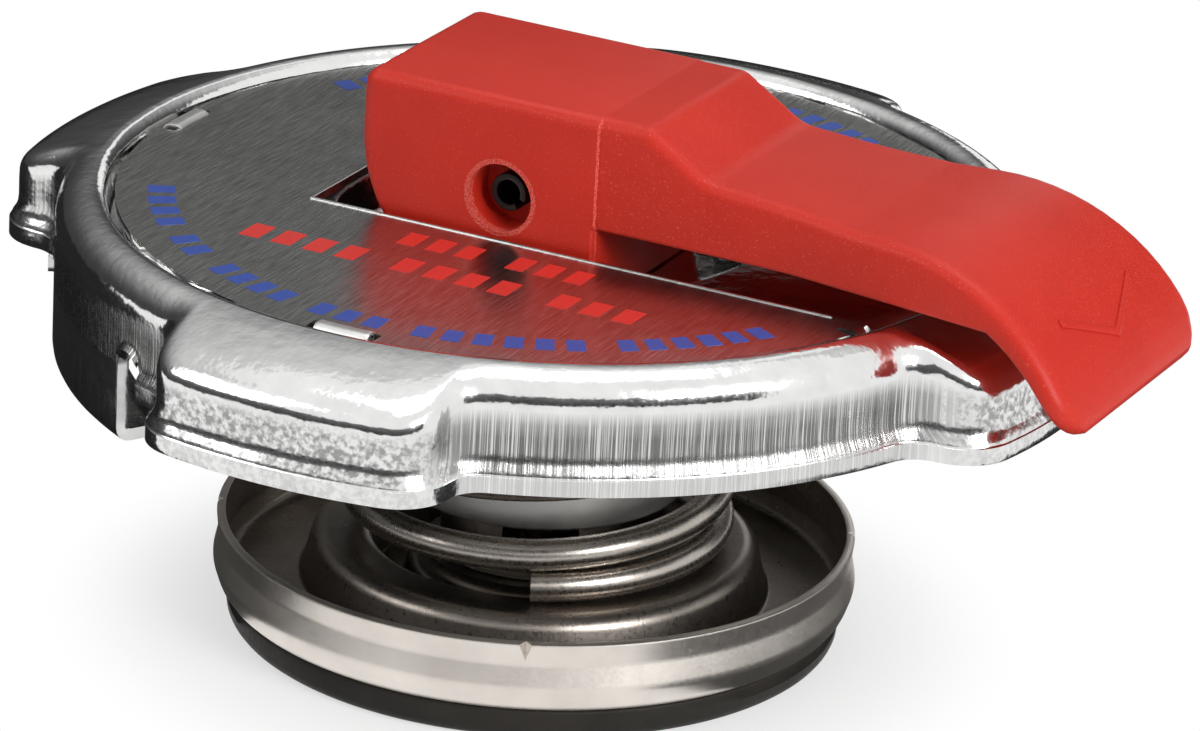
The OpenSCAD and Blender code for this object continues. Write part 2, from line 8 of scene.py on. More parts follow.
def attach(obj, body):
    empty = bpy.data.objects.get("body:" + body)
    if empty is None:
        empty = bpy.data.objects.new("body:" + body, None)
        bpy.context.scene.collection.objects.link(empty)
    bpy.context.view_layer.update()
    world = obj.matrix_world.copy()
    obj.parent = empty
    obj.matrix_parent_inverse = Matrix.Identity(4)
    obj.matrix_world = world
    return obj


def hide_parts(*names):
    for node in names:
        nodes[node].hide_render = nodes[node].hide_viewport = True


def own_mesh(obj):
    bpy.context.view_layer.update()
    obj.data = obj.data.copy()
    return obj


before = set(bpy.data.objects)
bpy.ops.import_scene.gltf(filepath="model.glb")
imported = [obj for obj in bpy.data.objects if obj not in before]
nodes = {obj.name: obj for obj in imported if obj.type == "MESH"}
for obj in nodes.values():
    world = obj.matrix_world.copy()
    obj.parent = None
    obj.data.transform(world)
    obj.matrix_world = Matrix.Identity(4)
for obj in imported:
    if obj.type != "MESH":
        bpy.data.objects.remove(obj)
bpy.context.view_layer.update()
scene = bpy.context.scene
mm = 0.001
fullTurn = 2 * math.pi
quarterTurn = math.pi / 2
pinZ = 31.6             # height of the lever's pin in mm
bendSteps = 6           # steps round a sheet's bend, where it has none of its own
weldReach = 1e-6        # points closer than this, in m, are joined after a cut
tiny = 1e-8
print("frame loaded with", len(nodes), "nodes")


# shader helpers

def feed(tree, socket, value):
    if isinstance(value, bpy.types.NodeSocket):
        tree.links.new(value, socket)
    else:
        socket.default_value = value


def mathNode(tree, operation, *values, clamp=False):
    node = tree.nodes.new("ShaderNodeMath")
    node.operation = operation
    node.use_clamp = clamp
    for socket, value in zip(node.inputs, values):
        feed(tree, socket, value)
    return node.outputs[0]


def vectorNode(tree, operation, first, second=None):
    node = tree.nodes.new("ShaderNodeVectorMath")
    node.operation = operation
    feed(tree, node.inputs[0], first)
    if second is not None:
        feed(tree, node.inputs["Scale" if operation == "SCALE" else 1], second)
    return node.outputs["Value" if operation == "LENGTH" else "Vector"]


def noiseNode(tree, vector, scale, detail=3.0, rough=0.55):
    node = tree.nodes.new("ShaderNodeTexNoise")
    for label, value in (("Vector", vector), ("Scale", scale), ("Detail", detail), ("Roughness", rough)):
        feed(tree, node.inputs[label], value)
    return node.outputs["Fac"]


def rangeNode(tree, value, low, high, toLow, toHigh, kind="LINEAR"):
    node = tree.nodes.new("ShaderNodeMapRange")
    node.interpolation_type = kind
    labels = ("Value", "From Min", "From Max", "To Min", "To Max")
    for label, number in zip(labels, (value, low, high, toLow, toHigh)):
        feed(tree, node.inputs[label], number)
    return node.outputs["Result"]


def spread(tree, tone, low, high):
    return rangeNode(tree, tone, 0.0, 1.0, low, high)


def mixColour(tree, fac, first, second):
    node = tree.nodes.new("ShaderNodeMix")
    node.data_type = "RGBA"
    for label, value in (("Factor", fac), ("A", first), ("B", second)):
        feed(tree, node.inputs[label], value)
    return node.outputs["Result"]


def objectPlace(tree):
    return tree.nodes.new("ShaderNodeTexCoord").outputs["Object"]


def objectXyz(tree):
    node = tree.nodes.new("ShaderNodeSeparateXYZ")
    tree.links.new(objectPlace(tree), node.inputs[0])
    return [node.outputs[axis] for axis in "XYZ"]


def together(tree, x=0.0, y=0.0, z=0.0):
    node = tree.nodes.new("ShaderNodeCombineXYZ")
    for socket, value in zip(node.inputs, (x, y, z)):
        feed(tree, socket, value)
    return node.outputs[0]


# shared shader groups

def newGroup(name, inputs):
    group = bpy.data.node_groups.new(name, "ShaderNodeTree")
    for label, kind, value in inputs:
        socket = group.interface.new_socket(label, in_out="INPUT", socket_type="NodeSocket" + kind)
        socket.default_value = value
    for label in ("Tone", "Height"):
        group.interface.new_socket(label, in_out="OUTPUT", socket_type="NodeSocketFloat")
    return group, group.nodes.new("NodeGroupInput"), group.nodes.new("NodeGroupOutput")


def makeGrainGroup():
    # noise stretched by its own factors, for brushing, orange peel and moulded grain
    group, into, out = newGroup("surfaceGrain",
        [("Scale", "Float", 500.0), ("Stretch", "Vector", (1.0, 1.0, 1.0)), ("Contrast", "Float", 1.0)])
    stretched = vectorNode(group, "MULTIPLY", objectPlace(group), into.outputs["Stretch"])
    fac = noiseNode(group, stretched, into.outputs["Scale"])
    centred = mathNode(group, "SUBTRACT", fac, 0.5)
    tone = mathNode(group, "MULTIPLY_ADD", centred, into.outputs["Contrast"], 0.5, clamp=True)
    group.links.new(tone, out.inputs["Tone"])
    group.links.new(fac, out.inputs["Height"])
    return group


drawSet = {"detail": 4.0, "rough": 0.7, "tone": (0.36, 0.52)}


def makeDrawGroup(s):
    # fine lines down a turned wall, even all round the axis
    group, into, out = newGroup("drawLines", [("Lines", "Float", 300.0), ("Run", "Float", 120.0)])
    x, y, z = objectXyz(group)
    around = vectorNode(group, "NORMALIZE", together(group, x, y))
    wide = vectorNode(group, "SCALE", around, into.outputs["Lines"])
    rise = together(group, z=mathNode(group, "MULTIPLY", z, into.outputs["Run"]))
    fac = noiseNode(group, vectorNode(group, "ADD", wide, rise), 1.0, s["detail"], s["rough"])
    group.links.new(rangeNode(group, fac, *s["tone"], 0.0, 1.0), out.inputs["Tone"])
    group.links.new(fac, out.inputs["Height"])
    return group


surfaceGrain = makeGrainGroup()
drawLines = makeDrawGroup(drawSet)


def groupNode(tree, group, **values):
    node = tree.nodes.new("ShaderNodeGroup")
    node.node_tree = group
    for label, value in values.items():
        node.inputs[label].default_value = value
    return node.outputs["Tone"], node.outputs["Height"]


def newMaterial(name, **constants):
    material = bpy.data.materials.new(name)
    material.use_nodes = True
    tree = material.node_tree
    shader = tree.nodes["Principled BSDF"]
    for label, value in constants.items():
        shader.inputs[label.replace("_", " ")].default_value = value
    return material, tree, shader


def bumpOn(tree, shader, height, strength, depth, under=None):
    bump = tree.nodes.new("ShaderNodeBump")
    bump.inputs["Strength"].default_value = strength
    bump.inputs["Distance"].default_value = depth
    tree.links.new(height, bump.inputs["Height"])
    if under is not None:
        tree.links.new(under, bump.inputs["Normal"])
    tree.links.new(bump.outputs["Normal"], shader.inputs["Normal"])
    return bump.outputs["Normal"]


def paint(tree, shader, colour, rough):
    tree.links.new(colour, shader.inputs["Base Color"])
    tree.links.new(rough, shader.inputs["Roughness"])


def attribute(tree, name):
    node = tree.nodes.new("ShaderNodeAttribute")
    node.attribute_name = name
    return node.outputs["Fac"]


# finishes; a bump is its strength and its depth in m

platedSet = {
    # worn is the dark colour of the walls' streaks and mottle: drawn lines and mottle, partly painted dark
    # reflection
    "dark": (0.72, 0.72, 0.715, 1), "light": (0.88, 0.88, 0.87, 1), "worn": (0.15, 0.15, 0.146, 1),
    "streaked": 0.95, "mottled": 0.7, "rough": (0.07, 0.17), "streakRough": 0.15,
    "peelBump": (0.30, 0.00025), "fleckBump": (0.10, 0.00003), "lineBump": (0.45, 0.00008),
}


def makePlatedSteel(s):
    # drawn lines on the skirt and mottle on the lobes, both only where the shell says wall; their dark colour
    # is partly painted dark reflection of the walls
    material, tree, shader = newMaterial("platedSteel", Metallic=1.0)
    peelTone, peelHeight = groupNode(tree, surfaceGrain, Scale=480.0, Contrast=1.6)
    mottleTone, _ = groupNode(tree, surfaceGrain, Scale=2400.0, Contrast=5.0)
    fleckTone, fleckHeight = groupNode(tree, surfaceGrain, Scale=4200.0, Contrast=2.2)
    lineTone, lineHeight = groupNode(tree, drawLines, Lines=340.0, Run=70.0)
    wall, lobe = attribute(tree, "wall"), attribute(tree, "lobe")
    onSkirt = mathNode(tree, "MULTIPLY", wall, mathNode(tree, "SUBTRACT", 1.0, lobe))
    onLobe = mathNode(tree, "MULTIPLY", wall, lobe)
    streak = mathNode(tree, "MULTIPLY", lineTone, onSkirt)
    spots = mathNode(tree, "MULTIPLY", mottleTone, onLobe)
    shadedStreaks = mathNode(tree, "MAXIMUM", mathNode(tree, "MULTIPLY", streak, s["streaked"]),
        mathNode(tree, "MULTIPLY", spots, s["mottled"]))
    tone = mixColour(tree, peelTone, s["dark"], s["light"])
    rough = spread(tree, fleckTone, *s["rough"])
    paint(tree, shader, mixColour(tree, shadedStreaks, tone, s["worn"]),
        mathNode(tree, "MULTIPLY_ADD", shadedStreaks, s["streakRough"], rough))
    first = bumpOn(tree, shader, peelHeight, *s["peelBump"])
    second = bumpOn(tree, shader, fleckHeight, *s["fleckBump"], first)
    bumpOn(tree, shader, mathNode(tree, "MULTIPLY", lineHeight, onSkirt), *s["lineBump"], second)
    return material


brushedSet = {
    "dark": (0.44, 0.435, 0.425, 1), "light": (0.66, 0.655, 0.64, 1), "stretch": (9000.0, 420.0, 420.0),
    "rough": (0.14, 0.22), "cloudRough": 0.06, "bump": (0.30, 0.00005),
}


def makeBrushedPlate(s):
    material, tree, shader = newMaterial("brushedPlate", Metallic=1.0)
    tone, height = groupNode(tree, surfaceGrain, Scale=1.0, Stretch=s["stretch"], Contrast=2.4)
    cloud, _ = groupNode(tree, surfaceGrain, Scale=140.0, Contrast=1.5)
    rough = spread(tree, tone, *s["rough"])
    paint(tree, shader, mixColour(tree, tone, s["dark"], s["light"]),
        mathNode(tree, "MULTIPLY_ADD", cloud, s["cloudRough"], rough))
    bumpOn(tree, shader, height, *s["bump"])
    return material


redSet = {
    "dark": (0.465, 0.018, 0.009, 1), "light": (0.545, 0.027, 0.013, 1), "pale": (0.80, 0.27, 0.22, 1),
    "rough": (0.36, 0.50), "bump": (0.30, 0.00005),
    # grain's tone to paleness, for specks all over and for patches in the worn places
    "specks": (0.74, 1.0, 0.0, 0.28), "patches": (0.30, 0.80, 0.0, 0.50),
    "ringR": 2.38, "ringHalf": 0.2, "stepX": 6.76, "stepHalf": 0.06, "sideY": 6.9,
}


def makeMouldedRed(s):
    material, tree, shader = newMaterial("mouldedRed", Specular_IOR_Level=0.25)
    cloud, _ = groupNode(tree, surfaceGrain, Scale=160.0, Contrast=1.4)
    tone, height = groupNode(tree, surfaceGrain, Scale=8000.0, Contrast=2.2)
    body = mixColour(tree, cloud, s["dark"], s["light"])
    # pale wear round the counterbores and along the cam block's step
    x, y, z = objectXyz(tree)
    up = mathNode(tree, "SUBTRACT", z, pinZ * mm)
    squares = [mathNode(tree, "POWER", value, 2.0) for value in (x, up)]
    fromPin = mathNode(tree, "SQRT", mathNode(tree, "ADD", *squares))
    ring = mathNode(tree, "COMPARE", fromPin, s["ringR"] * mm, s["ringHalf"] * mm)
    step = mathNode(tree, "COMPARE", x, s["stepX"] * mm, s["stepHalf"] * mm)
    side = mathNode(tree, "GREATER_THAN", mathNode(tree, "ABSOLUTE", y), s["sideY"] * mm)
    worn = mathNode(tree, "MULTIPLY", mathNode(tree, "MAXIMUM", ring, step), side)
    patchy = mathNode(tree, "MULTIPLY", worn, rangeNode(tree, tone, *s["patches"]))
    pale = mathNode(tree, "MAXIMUM", rangeNode(tree, tone, *s["specks"]), patchy)
    paint(tree, shader, mixColour(tree, pale, body, s["pale"]), spread(tree, tone, *s["rough"]))
    bumpOn(tree, shader, height, *s["bump"])
    return material


sheetSet = {"lineRough": 0.10, "grainBump": (0.15, 0.00004), "lineBump": (0.25, 0.00006)}


def makeSheetMetal(name, dark, light, rough, lined):
    # plain and plated metal: clouded tone, a little grain, and turned lines as far as it is lined
    s = sheetSet
    material, tree, shader = newMaterial(name, Metallic=1.0)
    cloud, _ = groupNode(tree, surfaceGrain, Scale=220.0, Contrast=1.6)
    grainTone, grainHeight = groupNode(tree, surfaceGrain, Scale=3800.0, Contrast=2.0)
    lineTone, lineHeight = groupNode(tree, drawLines, Lines=220.0, Run=260.0)
    grained = spread(tree, grainTone, *rough)
    paint(tree, shader, mixColour(tree, cloud, dark, light),
        mathNode(tree, "MULTIPLY_ADD", lineTone, s["lineRough"] * lined, grained))
    first = bumpOn(tree, shader, grainHeight, *s["grainBump"])
    strength, depth = s["lineBump"]
    bumpOn(tree, shader, lineHeight, strength * lined, depth, first)
    return material


rubberSet = {
    "dark": (0.014, 0.0125, 0.011, 1), "light": (0.036, 0.032, 0.028, 1), "rough": (0.45, 0.62),
    "bump": (0.25, 0.00006),
}


def makeSealRubber(s):
    material, tree, shader = newMaterial("sealRubber", Specular_IOR_Level=0.12)
    tone, height = groupNode(tree, surfaceGrain, Scale=2600.0, Contrast=1.8)
    cloud, _ = groupNode(tree, surfaceGrain, Scale=120.0, Contrast=1.8)
    paint(tree, shader, mixColour(tree, cloud, s["dark"], s["light"]), spread(tree, tone, *s["rough"]))
    bumpOn(tree, shader, height, *s["bump"])
    return material


def makeInk(name, thin, full, rough=(0.35, 0.5)):
    material, tree, shader = newMaterial(name)
    tone, _ = groupNode(tree, surfaceGrain, Scale=5200.0, Contrast=2.0)
    paint(tree, shader, mixColour(tree, tone, thin, full), spread(tree, tone, *rough))
    return material


platedSteel = makePlatedSteel(platedSet)
brushedPlate = makeBrushedPlate(brushedSet)
mouldedRed = makeMouldedRed(redSet)
warmCup = makeSheetMetal("warmCup",
    dark=(0.64, 0.59, 0.54, 1), light=(0.84, 0.79, 0.73, 1), rough=(0.33, 0.44), lined=0.15)
# a darker copy of the cup's metal: painted shade for the cup's hollow, its humps and the lift yoke
shadedCupMetal = makeSheetMetal("shadedCupMetal",
    dark=(0.24, 0.21, 0.185, 1), light=(0.36, 0.325, 0.29, 1), rough=(0.22, 0.34), lined=0.5)
springNickel = makeSheetMetal("springNickel",
    dark=(0.42, 0.38, 0.34, 1), light=(0.60, 0.555, 0.505, 1), rough=(0.24, 0.34), lined=0.0)
satinSteel = makeSheetMetal("satinSteel",
    dark=(0.52, 0.515, 0.50, 1), light=(0.68, 0.675, 0.66, 1), rough=(0.30, 0.42), lined=0.5)
blackOxide = makeSheetMetal("blackOxide",
    dark=(0.020, 0.020, 0.020, 1), light=(0.055, 0.053, 0.050, 1), rough=(0.30, 0.45), lined=0.0)
turnedBrass = makeSheetMetal("turnedBrass",
    dark=(0.58, 0.41, 0.17, 1), light=(0.74, 0.56, 0.27, 1), rough=(0.22, 0.34), lined=0.5)
sealRubber = makeSealRubber(rubberSet)
redInk = makeInk("redInk", thin=(0.50, 0.020, 0.015, 1), full=(0.66, 0.030, 0.020, 1))
blueInk = makeInk("blueInk", thin=(0.020, 0.050, 0.26, 1), full=(0.030, 0.075, 0.36, 1))
print("finishes made")


# mesh helpers

def vertsOf(geom):
    return [g for g in geom if isinstance(g, bmesh.types.BMVert)]


def edgesOf(geom):
    return [g for g in geom if isinstance(g, bmesh.types.BMEdge)]


def allOf(bm):
    return bm.verts[:] + bm.edges[:] + bm.faces[:]


def facesOut(bm):
    bmesh.ops.recalc_face_normals(bm, faces=bm.faces)


def faceUp(bm):
    # an open sheet's highest face looks up
    facesOut(bm)
    top = max(bm.faces, key=lambda f: f.calc_center_median().z)
    if top.normal.z < 0:
        bmesh.ops.reverse_faces(bm, faces=bm.faces)


def shift(bm, verts, x=0.0, y=0.0, z=0.0, unit=mm):
    bmesh.ops.translate(bm, vec=(x * unit, y * unit, z * unit), verts=verts)


def turn(bm, verts, angle, axis):
    bmesh.ops.rotate(bm, cent=(0, 0, 0), matrix=Matrix.Rotation(angle, 3, axis), verts=verts)


def spinUp(bm, geom, angle, steps, **more):
    # spins about the cap's axis
    return bmesh.ops.spin(bm, geom=geom, cent=(0, 0, 0), axis=(0, 0, 1), angle=angle, steps=steps, **more)


def thicken(bm, x=0.0, y=0.0, z=0.0, unit=mm):
    # draws every face out into a closed solid
    made = bmesh.ops.extrude_face_region(bm, geom=bm.faces[:])["geom"]
    shift(bm, vertsOf(made), x, y, z, unit)
    facesOut(bm)


def addSheet(bm, x0, x1, y0, y1, z, unit=mm):
    made = bmesh.ops.create_grid(bm, x_segments=1, y_segments=1, size=0.5)["verts"]
    bmesh.ops.scale(bm, vec=((x1 - x0) * unit, (y1 - y0) * unit, 1), verts=made)
    shift(bm, made, (x0 + x1) / 2, (y0 + y1) / 2, z, unit)


def bentLine(points):
    # corner points as x, z, bend radius in mm and, where given, the bend's own steps; a bend of 0 stays sharp
    line = []
    for i, (x, z, bend, *own) in enumerate(points):
        here = Vector((x, z))
        if not bend:
            line.append(here)
            continue
        back = (Vector(points[i - 1][:2]) - here).normalized()
        ahead = (Vector(points[(i + 1) % len(points)][:2]) - here).normalized()
        half = back.angle(ahead) / 2
        centre = here + (back + ahead).normalized() * bend / math.sin(half)
        start = here + back * bend / math.tan(half) - centre
        sweep = (math.pi - 2 * half) * (-1 if back.cross(ahead) > 0 else 1)
        steps = own[0] if own else bendSteps
        line += [centre + Matrix.Rotation(sweep * k / steps, 2) @ start for k in range(steps + 1)]
    return line


def wireOf(bm, line):
    verts = [bm.verts.new((p[0] * mm, 0, p[1] * mm)) for p in line]
    return verts, [bm.edges.new(pair) for pair in zip(verts, verts[1:])]


def spunSheet(line, steps, closed=False):
    bm = bmesh.new()
    verts, edges = wireOf(bm, line)
    if closed:
        edges.append(bm.edges.new((verts[-1], verts[0])))
    spinUp(bm, verts + edges, fullTurn, steps, use_merge=True)
    bmesh.ops.remove_doubles(bm, verts=bm.verts, dist=tiny)
    facesOut(bm)
    return bm


def newObject(name, bm):
    mesh = bpy.data.meshes.new(name)
    bm.to_mesh(mesh)
    bm.free()
    made = bpy.data.objects.new(name, mesh)
    scene.collection.objects.link(made)
    return made


def newPiece(name, bm, finish):
    piece = newObject(name, bm)
    piece.data.materials.append(finish)
    return piece


def roundEdges(piece, width, angle=50, segments=2):
    bevel = piece.modifiers.new("edges", "BEVEL")
    bevel.width = width * mm
    bevel.segments = segments
    bevel.limit_method = "ANGLE"
    bevel.angle_limit = math.radians(angle)


def wallOf(piece, thick, edge):
    wall = piece.modifiers.new("wall", "SOLIDIFY")
    wall.thickness = thick * mm
    wall.offset = -1
    wall.use_even_offset = True
    roundEdges(piece, edge)


def welded(piece):
    piece.modifiers.new("weld", "WELD").merge_threshold = weldReach


def settle(piece, sharp=38):
    # bakes the modifiers into the mesh, then shades it smooth up to an angle
    bpy.context.view_layer.update()
    mesh = bpy.data.meshes.new_from_object(piece.evaluated_get(bpy.context.evaluated_depsgraph_get()))
    piece.modifiers.clear()
    old = piece.data
    mesh.name = old.name
    piece.data = mesh
    bpy.data.meshes.remove(old)
    mesh.shade_smooth()
    mesh.set_sharp_from_angle(angle=math.radians(sharp))


def cutWith(piece, cutters):
    for cutter in cutters:
        cut = piece.modifiers.new("cut", "BOOLEAN")
        cut.operation = "DIFFERENCE"
        cut.solver = "EXACT"
        cut.object = cutter
    welded(piece)
    settle(piece)
    for cutter in cutters:
        bpy.data.objects.remove(cutter)


def onBody(piece, body, *replaced):
    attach(piece, body)
    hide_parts(*replaced)
    print(piece.name, "on", body, "with", len(piece.data.polygons), "faces")


# shell: one pressed skin, spun, pushed out into lobes, slit and bent at the ears

shellSet = {
    "thick": 0.8, "steps": 720, "edge": 0.1,
    "middle": [(3.16, 24.25, 0), (5.42, 24.25, 0.1, 1), (6.22, 25.25, 1.0, 2), (13.11, 25.25, 0.6, 2),
        (14.11, 28.5, 1.3, 3), (26.69, 28.5, 1.0, 4), (27.69, 27.2, 0.1, 1), (28.51, 27.2, 0.1, 1),
        (28.86, 29.6, 1.05, 6), (29.8, 29.6, 0)],
    "crestR": 29.8, "baseR": 32.0, "crestZ": 29.6, "shoulder": 2.31, "shoulderSteps": 14,
    "lobes": 4, "lobeOut": 4.3, "lobeHalf": 11.7, "corner": 3.0, "blend": 3.0,
    "deckFall": 1.5, "squareness": 1.4,
    # wall rows below the shoulder: height and how far the lip stands out
    "rows": [(26.4, 0), (25.5, 0), (24.6, 0), (24.1, 0.06), (23.75, 0.2), (23.45, 0.4), (23.2, 0.5),
        (23.12, 0.53), (23.06, 0.6), (22.5, 0.6), (22.0, 0.6)],
    "lipFrom": 24.6, "lipTo": 23.45,
    # how much of the walls' dark streaks and mottle shows, partly painted dark reflection: fading in down the
    # wall, on the lip and on the ears
    "wallFade": 1.2, "lipShare": 0.35, "earShare": 0.6,
    "earAt": (45, 225), "earHalf": 15.5, "earSlack": 0.01, "slitTo": 20.5, "slitRow": 23.45, "slitRound": 1.35,
    "slitEase": 26.4, "slitSlack": 0.001,
    "earMidZ": 20.5, "earZ": 18.0, "earBend": 1.0, "earBendSteps": 5, "tongueMidR": 29.2, "tongueR": 27.5,
    "slack": 1e-4, "near": 1e-7,
}


def lobeWall(angle, s):
    # radius of the outline and direction of its normal at an angle from the axis, in radians
    pitch = fullTurn / s["lobes"]
    offset = (angle + pitch / 2) % pitch - pitch / 2
    a = abs(offset)
    lobeR = s["baseR"] + s["lobeOut"]
    cornerD, blendD = lobeR - s["corner"], s["baseR"] + s["blend"]
    reach = s["corner"] + s["blend"]
    cornerA = math.radians(s["lobeHalf"])
    blendA = cornerA + math.acos((cornerD ** 2 + blendD ** 2 - reach ** 2) / (2 * cornerD * blendD))
    corner = Vector((cornerD * math.cos(cornerA), cornerD * math.sin(cornerA)))
    blend = Vector((blendD * math.cos(blendA), blendD * math.sin(blendA)))
    meet = corner + (blend - corner) * s["corner"] / reach
    meetA = math.atan2(meet.y, meet.x)
    if a <= cornerA:
        radius, normal = lobeR, a
    elif a >= blendA:
        radius, normal = s["baseR"], a
    elif a <= meetA:
        d = a - cornerA
        radius = cornerD * math.cos(d) + math.sqrt(s["corner"] ** 2 - (cornerD * math.sin(d)) ** 2)
        normal = math.atan2(radius * math.sin(a) - corner.y, radius * math.cos(a) - corner.x)
    else:
        d = blendA - a
        radius = blendD * math.cos(d) - math.sqrt(max(0.0, s["blend"] ** 2 - (blendD * math.sin(d)) ** 2))
        normal = math.atan2(blend.y - radius * math.sin(a), blend.x - radius * math.cos(a))
    side = 1 if offset >= 0 else -1
    return radius, angle + side * (normal - a)


def fromEarOf(spot, s):
    # degrees from the nearest ear's middle
    angle = math.degrees(math.atan2(spot.y, spot.x))
    return min(abs((angle - ear + 180) % 360 - 180) for ear in s["earAt"])


def slitAcross(fromEar, s):
    # place across a slit, -1 beside the ear and 1 at its far side
    middle = (s["earHalf"] + s["slitTo"]) / 2
    return (fromEar - middle) / (s["slitTo"] - middle)


def slitTop(across, s):
    return s["slitRow"] + s["slitRound"] * math.sqrt(max(0.0, 1 - across * across))


def shapeSkirt(bm, s, wallTop):
    wallLayer = bm.verts.layers.float.new("wall")
    lobeLayer = bm.verts.layers.float.new("lobe")
    lip = s["lipFrom"]
    for v in bm.verts:
        r, z, angle = math.hypot(v.co.x, v.co.y) / mm, v.co.z / mm, math.atan2(v.co.y, v.co.x)
        if r <= s["crestR"] + s["slack"]:
            continue
        wallR, normal = lobeWall(angle, s)
        share = (wallR - s["baseR"]) / s["lobeOut"]
        way = Vector((math.cos(angle), math.sin(angle)))
        crest, wall = way * s["crestR"], way * wallR
        drop = s["deckFall"] * share
        v[lobeLayer] = share
        if z > wallTop + s["slack"]:
            power = 2 / (2 + s["squareness"] * share)
            u = math.asin(min(1.0, (r - s["crestR"]) / (s["baseR"] - s["crestR"])))
            along, up = math.sin(u) ** power, max(0.0, math.cos(u)) ** power
            spot = crest + (wall - crest) * along
            z = s["crestZ"] - drop * along - s["shoulder"] * (1 - up)
        else:
            fromEar = fromEarOf(v.co, s)
            out = 0 if fromEar <= s["earHalf"] + s["earSlack"] else max(0.0, r - s["baseR"])
            spot = wall + Vector((math.cos(normal), math.sin(normal))) * out
            if z > lip:
                z = lip + (z - lip) * (wallTop - drop - lip) / (wallTop - lip)
            faded = min(1.0, max(0.0, wallTop - z) / s["wallFade"])
            v[wallLayer] = faded if z > s["lipTo"] else s["lipShare"]
            across = slitAcross(fromEar, s)
            if abs(across) <= 1 + s["slitSlack"] and s["slitRow"] - s["slack"] <= z <= s["slitEase"]:
                top = slitTop(across, s)
                z = top + (z - s["slitRow"]) * (s["slitEase"] - top) / (s["slitEase"] - s["slitRow"])
        v.co = Vector((spot.x, spot.y, z)) * mm


def cutSlits(bm, s):
    # relief slits beside the ears: everything under the slit's round top goes
    gone = []
    for f in bm.faces:
        c = f.calc_center_median()
        fromEar = fromEarOf(c, s)
        if s["earHalf"] < fromEar < s["slitTo"] and c.z < s["slitEase"] * mm:
            if c.z / mm < slitTop(slitAcross(fromEar, s), s):
                gone.append(f)
    bmesh.ops.delete(bm, geom=gone, context="FACES")


def bendEars(bm, s):
    # the skirt's lower edge runs on down and turns in under the neck's cams
    wallLayer = bm.verts.layers.float["wall"]
    bottom = s["rows"][-1][0] * mm
    lower = [e for e in bm.edges if e.is_boundary and all(abs(v.co.z - bottom) < s["near"]
        and fromEarOf(v.co, s) <= s["earHalf"] + s["earSlack"] for v in e.verts)]
    bend, turnZ = s["earBend"], s["earZ"] + s["earBend"]
    way = [(s["baseR"], s["earMidZ"]), (s["baseR"], turnZ)]
    for k in range(1, s["earBendSteps"] + 1):
        a = math.pi / (2 * s["earBendSteps"]) * k
        way.append((s["baseR"] - bend + bend * math.cos(a), turnZ - bend * math.sin(a)))
    way += [(s["tongueMidR"], s["earZ"]), (s["tongueR"], s["earZ"])]
    for radius, height in way:
        made = bmesh.ops.extrude_edge_only(bm, edges=lower)["geom"]
        for v in vertsOf(made):
            flat = Vector((v.co.x, v.co.y)).normalized() * radius * mm
            v.co = Vector((flat.x, flat.y, height * mm))
            v[wallLayer] = s["earShare"]
        lower = [e for e in edgesOf(made) if all(abs(v.co.z - height * mm) < s["near"]
            and abs(v.co.xy.length - radius * mm) < s["near"] for v in e.verts)]


def makeShell(s):
    wallTop = s["crestZ"] - s["shoulder"]
    line = bentLine(s["middle"])
    for i in range(1, s["shoulderSteps"] + 1):
        u = quarterTurn * i / s["shoulderSteps"]
        r = s["crestR"] + (s["baseR"] - s["crestR"]) * math.sin(u)
        line.append((r, wallTop + s["shoulder"] * math.cos(u)))
    line += [(s["baseR"] + out, z) for z, out in s["rows"]]
    bm = spunSheet(line, s["steps"])
    faceUp(bm)
    shapeSkirt(bm, s, wallTop)
    cutSlits(bm, s)
    bendEars(bm, s)
    piece = newPiece("pressedShell", bm, platedSteel)
    wallOf(piece, s["thick"], s["edge"])
    settle(piece)
    onBody(piece, "cap", "shell")


makeShell(shellSet)


# lever: side outline drawn out to its width, rounded, flared, hollowed and drilled; heights are from the pin

leverSet = {
    "width": 14.6, "tipWidth": 21.0, "camLow": 6.2, "camHigh": 10.3, "camTop": 2.6, "camSteps": 18,
    "cheekFront": 6.7, "armUnder": 0.9,
    "head": [(-10.3, 4.7, 0), (-10.2, 6.7, 1.0), (10.1, 6.6, 1.4), (14.4, 3.9, 3.0), (24.8, 3.2, 0)],
    "bendX": 27.8, "bendZ": -11.8, "bendR": 15.0, "bendAngle": 69, "bendSteps": 15,
    "wall": 2.0, "tipWall": 1.3, "underAngle": 32.9, "underGap": 0.03,
    "flareFrom": 18.0, "flareTo": 40.8, "flareEase": 4.0, "flareRows": (15, 28),
    "padRise": 0.2, "padStep": 0.1, "topRound": 0.9, "underRound": 0.35, "roundSteps": 4,
    "tipRound": 3.5, "tipSteps": 8,
    # how far a face's normal has to point to be a side, the tip's end or the top
    "sideLean": 0.75, "endLean": 0.99, "topLean": 0.05,
    "forkX": (-11.3, 3.6), "forkZ": (-7.4, 3.6), "forkHalf": 2.7,
    "pocketFront": 9.1, "pocketMid": 14.4, "pocketLow": -7.0, "pocketTop": 1.9, "pocketPast": 4,
    "pinR": 1.25, "sinkR": 2.25, "sinkDepth": 2.4, "cutPast": 1,
}


def prism(outline, half):
    bm = bmesh.new()
    bm.faces.new([bm.verts.new((x * mm, -half * mm, z * mm)) for x, z in outline])
    thicken(bm, y=2 * half)
    return bm


def leverHalf(x, s):
    # half the lever's width at a distance from its pin
    ease = s["flareEase"]
    run = x - s["flareFrom"]
    slope = (s["tipWidth"] - s["width"]) / 2 / (s["flareTo"] - s["flareFrom"] - ease / 2)
    grown = 0 if run <= 0 else slope * run * run / (2 * ease) if run < ease else slope * (run - ease / 2)
    return s["width"] / 2 + grown


def bendAngles(s):
    # even steps round the bend
    return [math.radians(s["bendAngle"]) * k / s["bendSteps"] for k in range(s["bendSteps"] + 1)]


def tipAngles(s):
    # closer steps for the tip's round corners
    turns = [quarterTurn * k / s["tipSteps"] for k in range(s["tipSteps"])]
    return [math.radians(s["bendAngle"]) - s["tipRound"] * (1 - math.sin(t)) / s["bendR"] for t in turns]


